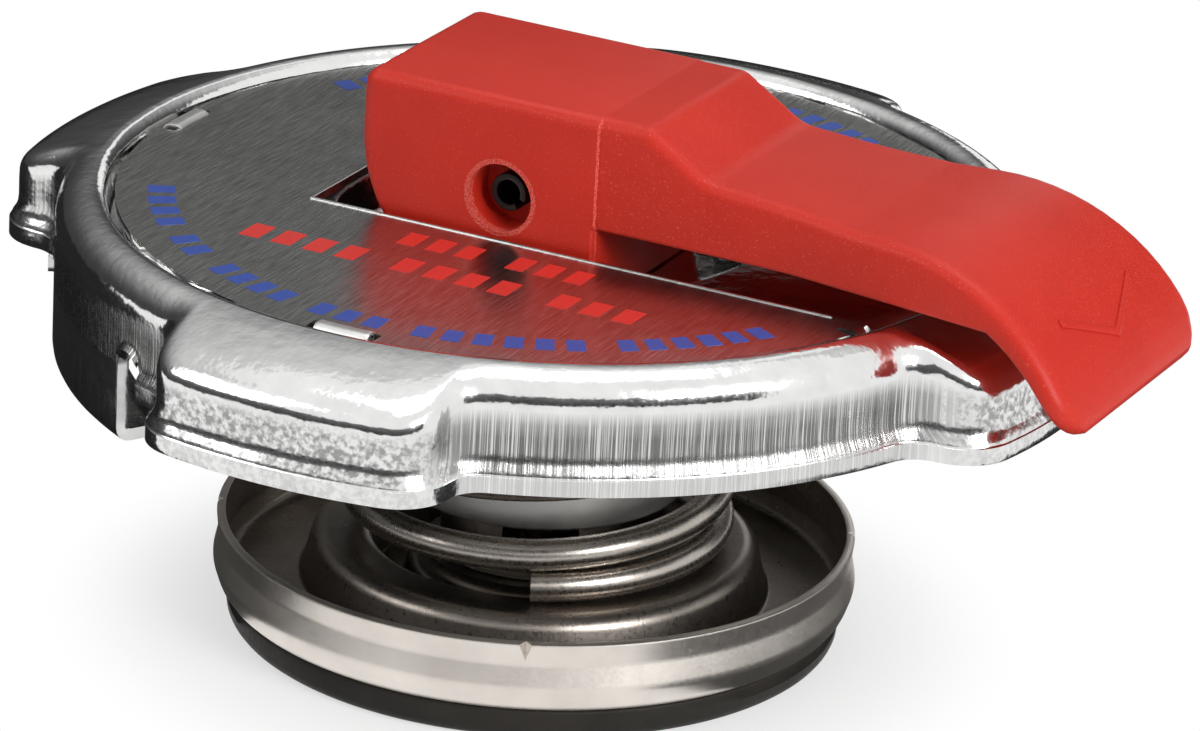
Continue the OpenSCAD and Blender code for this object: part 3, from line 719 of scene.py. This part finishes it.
def arcLine(s, radius, angles):
    # points round the bend's centre; angles in radians from straight up, towards +x
    return [(s["bendX"] + radius * math.sin(a), s["bendZ"] + radius * math.cos(a)) for a in angles]


def cutAcross(bm, x, z, normal):
    bmesh.ops.bisect_plane(bm, geom=allOf(bm), dist=tiny, plane_co=(x * mm, 0, z * mm), plane_no=normal)


def flare(bm, s, wall, lift=0.0):
    # rows across the arm and the bend, widened to the tip, whose corners are rounded in plan
    for x in range(*s["flareRows"]):
        cutAcross(bm, x, 0, (1, 0, 0))
    for a in bendAngles(s)[:-1] + tipAngles(s):
        cutAcross(bm, s["bendX"], s["bendZ"] + lift, (math.cos(a), 0, -math.sin(a)))
    for v in bm.verts:
        x, z = v.co.x / mm, v.co.z / mm - lift
        a = math.atan2(x - s["bendX"], z - s["bendZ"])
        toEnd = (math.radians(s["bendAngle"]) - a) * s["bendR"]
        short = min(s["tipRound"], max(0.0, s["tipRound"] - toEnd)) if x > s["bendX"] else 0.0
        half = leverHalf(x, s) - wall - s["tipRound"] + math.sqrt(s["tipRound"] ** 2 - short ** 2)
        v.co.y *= half / (s["width"] / 2 - wall)


def leverOutline(s):
    # the cam's lift grows evenly with the angle
    rate = (s["camHigh"] - s["camLow"]) / quarterTurn
    line = [(s["cheekFront"], -s["armUnder"]), (s["cheekFront"], -s["camLow"])]
    for i in range(s["camSteps"] + 1):
        a = quarterTurn * i / s["camSteps"]
        h = s["camLow"] + rate * a
        line.append((-h * math.sin(a) - rate * math.cos(a), -h * math.cos(a) + rate * math.sin(a)))
    line += [(p[0], p[1]) for p in bentLine(s["head"])]
    angles, under = bendAngles(s), math.radians(s["underAngle"])
    line += arcLine(s, s["bendR"], angles)
    for a in [a for a in angles if a > under + s["underGap"]][::-1] + [under]:
        wall = s["wall"] + (s["tipWall"] - s["wall"]) * (a - under) / (angles[-1] - under)
        line += arcLine(s, s["bendR"] - wall, [a])
    return line


def weighEdges(bm, s):
    # rounding of the long edges of both sides and round the tip's end, as a share of the top's
    end = math.radians(s["bendAngle"])
    tipWay = Vector((math.cos(end), 0, -math.sin(end)))
    weight = bm.edges.layers.float.new("bevel_weight_edge")
    low = s["underRound"] / s["topRound"]
    for e in bm.edges:
        outside = [f for f in e.link_faces
            if abs(f.normal.y) <= s["sideLean"] and f.normal.dot(tipWay) <= s["endLean"]]
        if len(outside) == 1:
            middle = (e.verts[0].co + e.verts[1].co) / 2 / mm
            # full on top, fading down the cam's back to the lower edges' share
            up = (middle.z + s["camLow"]) / (s["camLow"] + s["camTop"]) if middle.x < 0 else 0.0
            e[weight] = 1.0 if outside[0].normal.z > s["topLean"] else low + (1 - low) * min(1.0, max(0.0, up))


def makeCutter(name, bm):
    shift(bm, bm.verts, z=pinZ)
    facesOut(bm)
    return newObject(name, bm)


def crossBar(radius, low, high, sides=72):
    # round bar across the lever, along y
    bm = bmesh.new()
    bmesh.ops.create_cone(bm, cap_ends=True, segments=sides, radius1=radius * mm, radius2=radius * mm,
        depth=(high - low) * mm)
    turn(bm, bm.verts, quarterTurn, "X")
    shift(bm, bm.verts, y=(low + high) / 2)
    return bm


def leverCutters(s):
    half = s["width"] / 2
    (back, front), (low, top) = s["forkX"], s["forkZ"]
    fork = prism([(back, low), (front, low), (front, top), (back, top)], s["forkHalf"])
    inner = [a for a in bendAngles(s) if a < math.radians(s["underAngle"] + s["pocketPast"])]
    pocket = prism([(s["pocketFront"], s["pocketLow"]), (s["pocketFront"], s["pocketTop"]),
        (s["pocketMid"], s["pocketTop"])] + arcLine(s, s["bendR"] - s["wall"], inner)
        + [(s["bendX"], s["pocketLow"])], half - s["wall"])
    flare(pocket, s, s["wall"])
    past, floor = half + s["cutPast"], half - s["sinkDepth"]
    return [makeCutter("forkCut", fork), makeCutter("pocketCut", pocket),
        makeCutter("pinCut", crossBar(s["pinR"], -past, past)),
        makeCutter("nearSink", crossBar(s["sinkR"], -past, -floor)),
        makeCutter("farSink", crossBar(s["sinkR"], floor, past))]


def makeLever(s):
    half = s["width"] / 2
    bm = prism(leverOutline(s), half)
    bm.normal_update()
    weighEdges(bm, s)
    shift(bm, bm.verts, z=pinZ)
    facesOut(bm)
    piece = newPiece("redLever", bm, mouldedRed)
    roundEdges(piece, s["topRound"], segments=s["roundSteps"])
    piece.modifiers["edges"].limit_method = "WEIGHT"
    piece.modifiers["edges"].use_clamp_overlap = False
    settle(piece)
    bm = bmesh.new()
    bm.from_mesh(piece.data)
    flare(bm, s, 0.0, pinZ)
    # cam block: a little proud of the arm's sides
    for x in (s["cheekFront"], s["cheekFront"] + s["padStep"]):
        cutAcross(bm, x, 0, (1, 0, 0))
    padVerts = [v for v in bm.verts if v.co.x < (s["cheekFront"] + s["padStep"] / 2) * mm]
    bmesh.ops.scale(bm, vec=(1, 1 + s["padRise"] / half, 1), verts=padVerts)
    bm.to_mesh(piece.data)
    bm.free()
    cutWith(piece, leverCutters(s))
    onBody(piece, "lever", "lever")


makeLever(leverSet)


# plain chevron, raised on the lever's tip

chevronSet = {
    "arc": (43.5, 52.7), "reach": 5.1, "stroke": 0.55, "rise": 0.14, "sink": 0.3, "steps": 16, "edge": 0.06,
}


def makeChevron(s, lever):
    # drawn flat in mm, then wrapped round the bend
    bm = bmesh.new()
    radius = lever["bendR"]
    start, end = (math.radians(a) * radius for a in s["arc"])
    for side in (-1, 1):
        run = Vector((end - start, -side * s["reach"]))
        made = bmesh.ops.create_grid(bm, x_segments=s["steps"], y_segments=1, size=0.5)["verts"]
        bmesh.ops.scale(bm, vec=(run.length + s["stroke"], s["stroke"], 1), verts=made)
        turn(bm, made, math.atan2(run.y, run.x), "Z")
        shift(bm, made, (start + end) / 2, side * s["reach"] / 2, -s["sink"], unit=1)
    thicken(bm, z=s["sink"] + s["rise"], unit=1)
    for v in bm.verts:
        spot, = arcLine(lever, radius + v.co.z, [v.co.x / radius])
        v.co = Vector((spot[0], v.co.y, pinZ + spot[1])) * mm
    facesOut(bm)
    piece = newPiece("tipChevron", bm, mouldedRed)
    roundEdges(piece, s["edge"])
    settle(piece)
    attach(piece, "lever")


makeChevron(chevronSet, leverSet)


# slotted spring pin across the lever

pinSet = {"half": 6.3, "outer": 1.25, "inner": 0.82, "slotAngle": 55, "slotHalf": 16, "steps": 60, "edge": 0.08}


def makePin(s):
    bm = bmesh.new()
    inner, outer, half = s["inner"], s["outer"], s["half"]
    corners = ((inner, -half), (outer, -half), (outer, half), (inner, half))
    section = bm.faces.new([bm.verts.new((r * mm, y * mm, 0)) for r, y in corners])
    turned = math.radians(360 - 2 * s["slotHalf"])
    bmesh.ops.spin(bm, geom=[section], cent=(0, 0, 0), axis=(0, 1, 0), angle=turned, steps=s["steps"])
    turn(bm, bm.verts, math.radians(s["slotAngle"]), "Y")
    shift(bm, bm.verts, z=pinZ)
    facesOut(bm)
    piece = newPiece("springPin", bm, blackOxide)
    roundEdges(piece, s["edge"])
    settle(piece)
    onBody(piece, "lever", "lever_pin")


makePin(pinSet)


# pressure spring: a wire section spun up a helix, with closed end turns, split where the valve's own lift ends

coilSet = {
    "wire": 1.05, "radius": 11.95, "low": 6.1, "high": 23.15, "turns": 4.2, "closed": 2.142, "start": 296,
    "sides": 20, "perTurn": 72, "sharp": 50, "lowerTurns": 0.6, "stemLift": 4.1, "valveLift": 1.5,
}


def makeCoil(name, s, start, low, runs):
    # runs are turns and rise in mm, one after the other
    bm = bmesh.new()
    made = bmesh.ops.create_circle(bm, cap_ends=False, segments=s["sides"], radius=s["wire"] * mm)["verts"]
    turn(bm, made, quarterTurn, "X")
    shift(bm, made, x=s["radius"], z=low)
    turn(bm, made, math.radians(start), "Z")
    first = bm.edges[:]
    rim = bm.verts[:] + first
    for turns, height in runs:
        steps = round(turns * s["perTurn"])
        rim = spinUp(bm, rim, fullTurn * turns, steps, dvec=(0, 0, height * mm / steps))["geom_last"]
    for ring in (first, edgesOf(rim)):
        bmesh.ops.contextual_create(bm, geom=ring)
    facesOut(bm)
    piece = newPiece(name, bm, springNickel)
    settle(piece, s["sharp"])
    return piece


def squashed(piece):
    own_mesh(piece)


def makePressureSpring(s):
    free = s["turns"] - 2
    pitch = (s["high"] - s["low"] - 2 * s["wire"] - 2 * s["closed"]) / free
    bottom = s["low"] + s["wire"]
    split = bottom + s["closed"] + s["lowerTurns"] * pitch
    lowerRuns = [(1, s["closed"]), (s["lowerTurns"], s["lowerTurns"] * pitch)]
    lower = makeCoil("pressureCoilLower", s, s["start"], bottom, lowerRuns)
    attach(lower, "stem")
    squashed(lower)
    rest = free - s["lowerTurns"]
    upperRuns = [(rest, rest * pitch), (1, s["closed"])]
    upper = makeCoil("pressureCoil", s, s["start"] + 360 * s["lowerTurns"], split, upperRuns)
    onBody(upper, "cap", "pressure_spring")
    squashed(upper)


makePressureSpring(coilSet)


# vacuum spring: the same wire form, small

smallCoilSet = {
    "wire": 0.225, "radius": 2.9, "low": 4.9, "high": 7.9, "turns": 3.5, "closed": 0.459, "start": 0,
    "sides": 12, "perTurn": 48, "sharp": 50, "open": 1.0,
}


def makeVacuumSpring(s):
    middle = s["high"] - s["low"] - 2 * s["wire"] - 2 * s["closed"]
    runs = [(1, s["closed"]), (s["turns"] - 2, middle), (1, s["closed"])]
    piece = makeCoil("vacuumCoil", s, s["start"], s["low"] + s["wire"], runs)
    onBody(piece, "valve", "vacuum_spring")
    squashed(piece)


makeVacuumSpring(smallCoilSet)


# valve cup: pressed sheet with a staked rim

cupSet = {
    "thick": 0.6, "steps": 600, "wallRows": 6, "edge": 0.12,
    "line": [(4.8, 3.8, 0), (7.8, 3.8, 0.3), (8.0, 2.1, 0.8), (11.0, 2.1, 0.8), (11.2, 5.5, 0.5),
        (14.1, 5.5, 0.7), (14.9, 2.1, 0.9), (20.6, 2.1, 1.2), (21.2, 3.9, 1.2), (20.85, 5.53, 1.2),
        (20.9, 6.1, 0), (21.0, 7.0, 0)],
    "stakes": (26, 116, 206, 296),
    "stake": [(21.05, 0, 5.3), (20.48, 0, 7.2), (21.35, -0.8, 7.2), (21.35, 0.8, 7.2)],
}


def makeCup(s):
    line = bentLine(s["line"])
    # closer rows on the wall for the stake marks
    low, high = line[-2], line[-1]
    rows = line[:-2] + [low.lerp(high, k / s["wallRows"]) for k in range(s["wallRows"] + 1)]
    bm = spunSheet(rows, s["steps"])
    wall = max(bm.faces, key=lambda f: f.calc_center_median().xy.length)
    if wall.normal.xy.dot(wall.calc_center_median().xy) < 0:
        bmesh.ops.reverse_faces(bm, faces=bm.faces)
    piece = newPiece("valveCup", bm, warmCup)
    piece.data.materials.append(shadedCupMetal)
    wallOf(piece, s["thick"], s["edge"])
    # the inner faces take the darker copy: painted shade in the cup's hollow
    piece.modifiers["wall"].material_offset = 1
    settle(piece)
    # stake marks: a wedge punched into the wall from the rim down
    stakes = bmesh.new()
    for angle in s["stakes"]:
        made = [stakes.verts.new(Vector(p) * mm) for p in s["stake"]]
        for skip in made:
            stakes.faces.new([v for v in made if v is not skip])
        turn(stakes, made, math.radians(angle), "Z")
    facesOut(stakes)
    cutWith(piece, [newObject("stakeCut", stakes)])
    onBody(piece, "valve", "valve_cup")


makeCup(cupSet)


# turned seals and the inner bell

sealSet = {
    "steps": 360,
    "lower": [(4.9, 2.1, 0), (4.9, 1.4, 0), (11.0, 1.4, 0.15), (11.5, 0.0, 0.3), (20.2, 0.0, 0.9),
        (20.2, 2.1, 0.25), (12.0, 2.1, 0)],
    "upper": [(21.6, 22.7, 0), (21.6, 21.5, 0.25), (26.2, 21.5, 0.25), (26.2, 22.7, 0)],
}
bellSet = {
    "steps": 240,
    "line": [(9.7, 10.05, 0.2), (9.7, 23.15, 1.4), (3.16, 23.15, 0), (3.16, 22.45, 0), (9.0, 22.45, 0.7),
        (9.0, 10.05, 0.2)],
}


def makeTurned(name, corners, steps, finish, body, node):
    piece = newPiece(name, spunSheet(bentLine(corners), steps, closed=True), finish)
    settle(piece)
    onBody(piece, body, node)


makeTurned("lowerSeal", sealSet["lower"], sealSet["steps"], sealRubber, "valve", "lower_gasket")
makeTurned("upperSeal", sealSet["upper"], sealSet["steps"], sealRubber, "cap", "upper_gasket")
makeTurned("springBell", bellSet["line"], bellSet["steps"], satinSteel, "cap", "bell")


# what stays as packed, with finishes of its own

keptFinish = {
    "name_plate": brushedPlate, "centre_eyelet": satinSteel, "diaphragm": satinSteel, "stem_seal": sealRubber,
    # the lift yoke takes the cup's darker copy: painted shade in the well under the lever
    "lift_stem": satinSteel, "lift_yoke": shadedCupMetal, "seat_ferrule": turnedBrass, "vacuum_valve": turnedBrass,
    "vacuum_seal": sealRubber, "vacuum_keeper": turnedBrass,
}
for name, finish in keptFinish.items():
    nodes[name].data.materials.clear()
    nodes[name].data.materials.append(finish)


# rolled tabs that hold the name plate in the rim's groove

tabSet = {
    "line": [(26.75, 29.03, 0), (27.15, 29.22, 0.5), (28.05, 29.22, 0.55), (28.3, 27.9, 0)],
    "thick": 0.22, "first": 90, "step": 90, "count": 3, "half": 3.9, "spinSteps": 12, "edge": 0.05,
}


def makeTabs(s):
    bm = bmesh.new()
    verts, edges = wireOf(bm, bentLine(s["line"]))
    turn(bm, verts, math.radians(s["first"] - s["half"]), "Z")
    spinUp(bm, verts + edges, math.radians(2 * s["half"]), s["spinSteps"])
    faceUp(bm)
    more = s["count"] - 1
    spinUp(bm, allOf(bm), math.radians(s["step"] * more), more, use_duplicate=True)
    piece = newPiece("plateTabs", bm, satinSteel)
    wallOf(piece, s["thick"], s["edge"])
    settle(piece)
    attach(piece, "cap")


makeTabs(tabSet)


# thin bright edge on the plate: a real bevel whose faces take the shell's brighter metal, a painted highlight

plateSet = {"edge": 0.18, "angle": 60}


def brightenPlate(plate, s):
    welded(plate)
    plate.data.materials.append(platedSteel)
    roundEdges(plate, s["edge"], s["angle"])
    plate.modifiers["edges"].material = 1


brightenPlate(nodes["name_plate"], plateSet)


# raised strip of the shell's brighter metal along the plate's slot: a painted highlight on the slot's cut edges

slotHighlightSet = {
    "back": -13.1, "front": 24.0, "halfY": 8.1, "z": 29.0, "sink": 0.05, "wide": 0.2, "rise": 0.09,
    "edge": 0.06,
}


def makeSlotHighlight(s):
    bm = bmesh.new()
    lines = []
    for out in (0.0, s["wide"]):
        back, y = s["back"] - out, s["halfY"] + out
        spots = ((s["front"], -y), (back, -y), (back, y), (s["front"], y))
        lines.append([bm.verts.new(Vector((*spot, s["z"] - s["sink"])) * mm) for spot in spots])
    inner, outer = lines
    for k in range(len(inner) - 1):
        bm.faces.new((inner[k], inner[k + 1], outer[k + 1], outer[k]))
    faceUp(bm)
    thicken(bm, z=s["sink"] + s["rise"])
    piece = newPiece("slotEdgeHighlight", bm, platedSteel)
    roundEdges(piece, s["edge"])
    settle(piece)
    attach(piece, "cap")


makeSlotHighlight(slotHighlightSet)


# print on the name plate: plain blocks, no lettering

printSet = {
    "z": 29.0, "thick": 0.02, "arcIn": 24.3, "arcOut": 26.1, "arcPitch": 4.3, "arcSteps": 4, "fill": 0.62,
    # blue words as start and end in degrees
    "arcs": [(208, 226), (229, 238), (242, 259), (262, 275), (278, 304), (307, 331), (57, 81), (98, 120),
        (127, 154)],
    # red words as start and end in x, then in y
    "bars": [(-4.8, 1.4, -12.3, -10.1), (3.0, 9.2, -12.3, -10.1), (-13.8, -4.6, -16.6, -14.3),
        (-2.9, 6.3, -16.6, -14.3), (8.2, 15.0, -16.6, -14.3)],
    "barPitch": 2.35,
}


def blocks(start, end, pitch, fill):
    # a word's stretch split into letter-sized blocks
    count = max(1, round((end - start) / pitch))
    step = (end - start) / count
    return [(start + step * k, start + step * (k + fill)) for k in range(count)]


def makePrint(s):
    blue = bmesh.new()
    for word in s["arcs"]:
        for ends in blocks(*word, s["arcPitch"], s["fill"]):
            a, b = (math.radians(end) for end in ends)
            verts = [blue.verts.new((r * math.cos(a) * mm, r * math.sin(a) * mm, s["z"] * mm))
                for r in (s["arcIn"], s["arcOut"])]
            spinUp(blue, verts + [blue.edges.new(verts)], b - a, s["arcSteps"])
    red = bmesh.new()
    for start, end, y0, y1 in s["bars"]:
        for x0, x1 in blocks(start, end, s["barPitch"], s["fill"]):
            addSheet(red, x0, x1, y0, y1, s["z"])
    for name, bm, ink in (("plateArcs", blue, blueInk), ("plateBars", red, redInk)):
        faceUp(bm)
        thicken(bm, z=s["thick"])
        piece = newPiece(name, bm, ink)
        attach(piece, "cap")


makePrint(printSet)
print("pieces made")


# camera: fitted to the photo, angles in degrees, distances in mm, focal length in pixels

cameraSet = {
    "azimuth": 26.2, "elevation": 21.54, "roll": 3.08, "along": 3.64, "height": 17.87, "distance": 450.0,
    "focal": 6903.0, "imageWidth": 1200, "sensor": 36.0, "clip": (0.01, 20.0),
}


def makeCamera(s):
    a, e = math.radians(s["azimuth"]), math.radians(s["elevation"])
    back = Vector((math.sin(a) * math.cos(e), -math.cos(a) * math.cos(e), math.sin(e)))
    target = Vector((s["along"] * math.cos(a), s["along"] * math.sin(a), s["height"])) * mm
    data = bpy.data.cameras.new("photoCamera")
    data.sensor_width = s["sensor"]
    data.lens = s["focal"] / s["imageWidth"] * s["sensor"]
    data.clip_start, data.clip_end = s["clip"]
    camera = bpy.data.objects.new("photoCamera", data)
    scene.collection.objects.link(camera)
    camera.location = target + back * s["distance"] * mm
    camera.rotation_mode = "QUATERNION"
    rolled = Quaternion((0, 0, 1), math.radians(s["roll"]))
    camera.rotation_quaternion = (-back).to_track_quat("-Z", "Y") @ rolled
    scene.camera = camera


makeCamera(cameraSet)


# lamps, floor and world: sizes and places in m

lampSets = {
    "topBox": {"place": (0.02, 0.02, 0.70), "aim": (0, 0, 0.02), "size": 0.4, "power": 1.5},
    "leftBox": {"place": (-0.42, -0.40, 0.42), "aim": (0, 0, 0.025), "size": 0.35, "power": 1.0},
    "rightBox": {"place": (0.55, -0.25, 0.32), "aim": (0, 0, 0.025), "size": 0.25, "power": 3.2},
}
floorSet = {"radius": 3.0, "sides": 96, "paper": (0.86, 0.86, 0.86, 1), "shadow": (0.019, 0.033, 0.60, 1.0)}
worldSet = {"fill": 0.36, "colour": (1, 1, 1, 1)}


def makeLamp(name, s):
    data = bpy.data.lights.new(name, "AREA")
    data.energy = s["power"]
    data.size = s["size"]
    lamp = bpy.data.objects.new(name, data)
    scene.collection.objects.link(lamp)
    lamp.location = s["place"]
    lamp.rotation_mode = "QUATERNION"
    lamp.rotation_quaternion = (Vector(s["aim"]) - Vector(s["place"])).to_track_quat("-Z", "Y")


def bareMaterial(name):
    material = bpy.data.materials.new(name)
    material.use_nodes = True
    tree = material.node_tree
    tree.nodes.clear()
    out = tree.nodes.new("ShaderNodeOutputMaterial")
    return material, tree, out.inputs["Surface"], tree.nodes.new("ShaderNodeEmission")


def eyeRay(tree, seen=1.0):
    # as much as is said to the camera, and all to reflections and glass
    path = tree.nodes.new("ShaderNodeLightPath")
    share = mathNode(tree, "MULTIPLY", path.outputs["Is Camera Ray"], seen)
    share = mathNode(tree, "MAXIMUM", share, path.outputs["Is Glossy Ray"])
    return mathNode(tree, "MAXIMUM", share, path.outputs["Is Transmission Ray"])


def makeFloor(s):
    # white to the eye but for a soft shadow round the foot; paper to the light
    bm = bmesh.new()
    bmesh.ops.create_circle(bm, cap_ends=True, segments=s["sides"], radius=s["radius"])
    floor = newObject("paleFloor", bm)
    material, tree, surface, glow = bareMaterial("paleFloor")
    paper = tree.nodes.new("ShaderNodeBsdfDiffuse")
    paper.inputs["Color"].default_value = s["paper"]
    reach = vectorNode(tree, "LENGTH", objectPlace(tree))
    mix = tree.nodes.new("ShaderNodeMixShader")
    feed(tree, mix.inputs[0], eyeRay(tree, rangeNode(tree, reach, *s["shadow"], "SMOOTHSTEP")))
    tree.links.new(paper.outputs[0], mix.inputs[1])
    tree.links.new(glow.outputs[0], mix.inputs[2])
    tree.links.new(mix.outputs[0], surface)
    floor.data.materials.append(material)


def makeWorld(s):
    world = bpy.data.worlds.new("studio")
    scene.world = world
    world.use_nodes = True
    tree = world.node_tree
    light = tree.nodes["Background"]
    light.inputs["Color"].default_value = s["colour"]
    tree.links.new(spread(tree, eyeRay(tree), s["fill"], 1.0), light.inputs["Strength"])


makeFloor(floorSet)
makeWorld(worldSet)
for name, lampSet in lampSets.items():
    makeLamp(name, lampSet)


# dark flags that only reflections see: bands round the part, graded upwards, and even sheets on the floor

flagSet = {"radius": 0.6, "steps": 48, "lift": 0.0012}
bandSets = {
    "backFlag": {"top": 0.9, "start": 50, "end": 97, "shades": (0.05, 0.70)},
    "sideFlag": {"top": 0.9, "start": 107, "end": 205, "shades": (0.05, 0.70)},
    "frontFlag": {"top": 0.24, "start": 205, "end": 345, "shades": (0.05, 0.14)},
}
sheetFlagSets = {
    "leftFlag": {"x": (-0.6, -0.014), "y": (-0.05, 0.5), "shade": 0.02},
    "rightFlag": {"x": (0.019, 0.06), "y": (-0.016, 0.08), "shade": 0.03},
}


def makeFlag(name, bm, shades, top=1.0):
    flag = newObject(name, bm)
    material, tree, surface, glow = bareMaterial(name)
    height = objectXyz(tree)[2]
    tree.links.new(rangeNode(tree, height, 0.0, top, *shades, "SMOOTHERSTEP"), glow.inputs["Strength"])
    tree.links.new(glow.outputs[0], surface)
    flag.data.materials.append(material)
    flag.visible_camera = flag.visible_diffuse = flag.visible_shadow = False
    flag.visible_transmission = flag.visible_volume_scatter = False


def makeBandFlag(name, s):
    bm = bmesh.new()
    a, radius = math.radians(s["start"]), flagSet["radius"]
    verts = [bm.verts.new((radius * math.cos(a), radius * math.sin(a), z)) for z in (0.0, s["top"])]
    spinUp(bm, verts + [bm.edges.new(verts)], math.radians(s["end"] - s["start"]), flagSet["steps"])
    makeFlag(name, bm, s["shades"], s["top"])


def makeSheetFlag(name, s):
    bm = bmesh.new()
    addSheet(bm, *s["x"], *s["y"], flagSet["lift"], unit=1)
    makeFlag(name, bm, (s["shade"], s["shade"]))


for name, bandSet in bandSets.items():
    makeBandFlag(name, bandSet)
for name, sheetFlagSet in sheetFlagSets.items():
    makeSheetFlag(name, sheetFlagSet)
scene.view_settings.view_transform = "Standard"
print("camera, light and floor made")
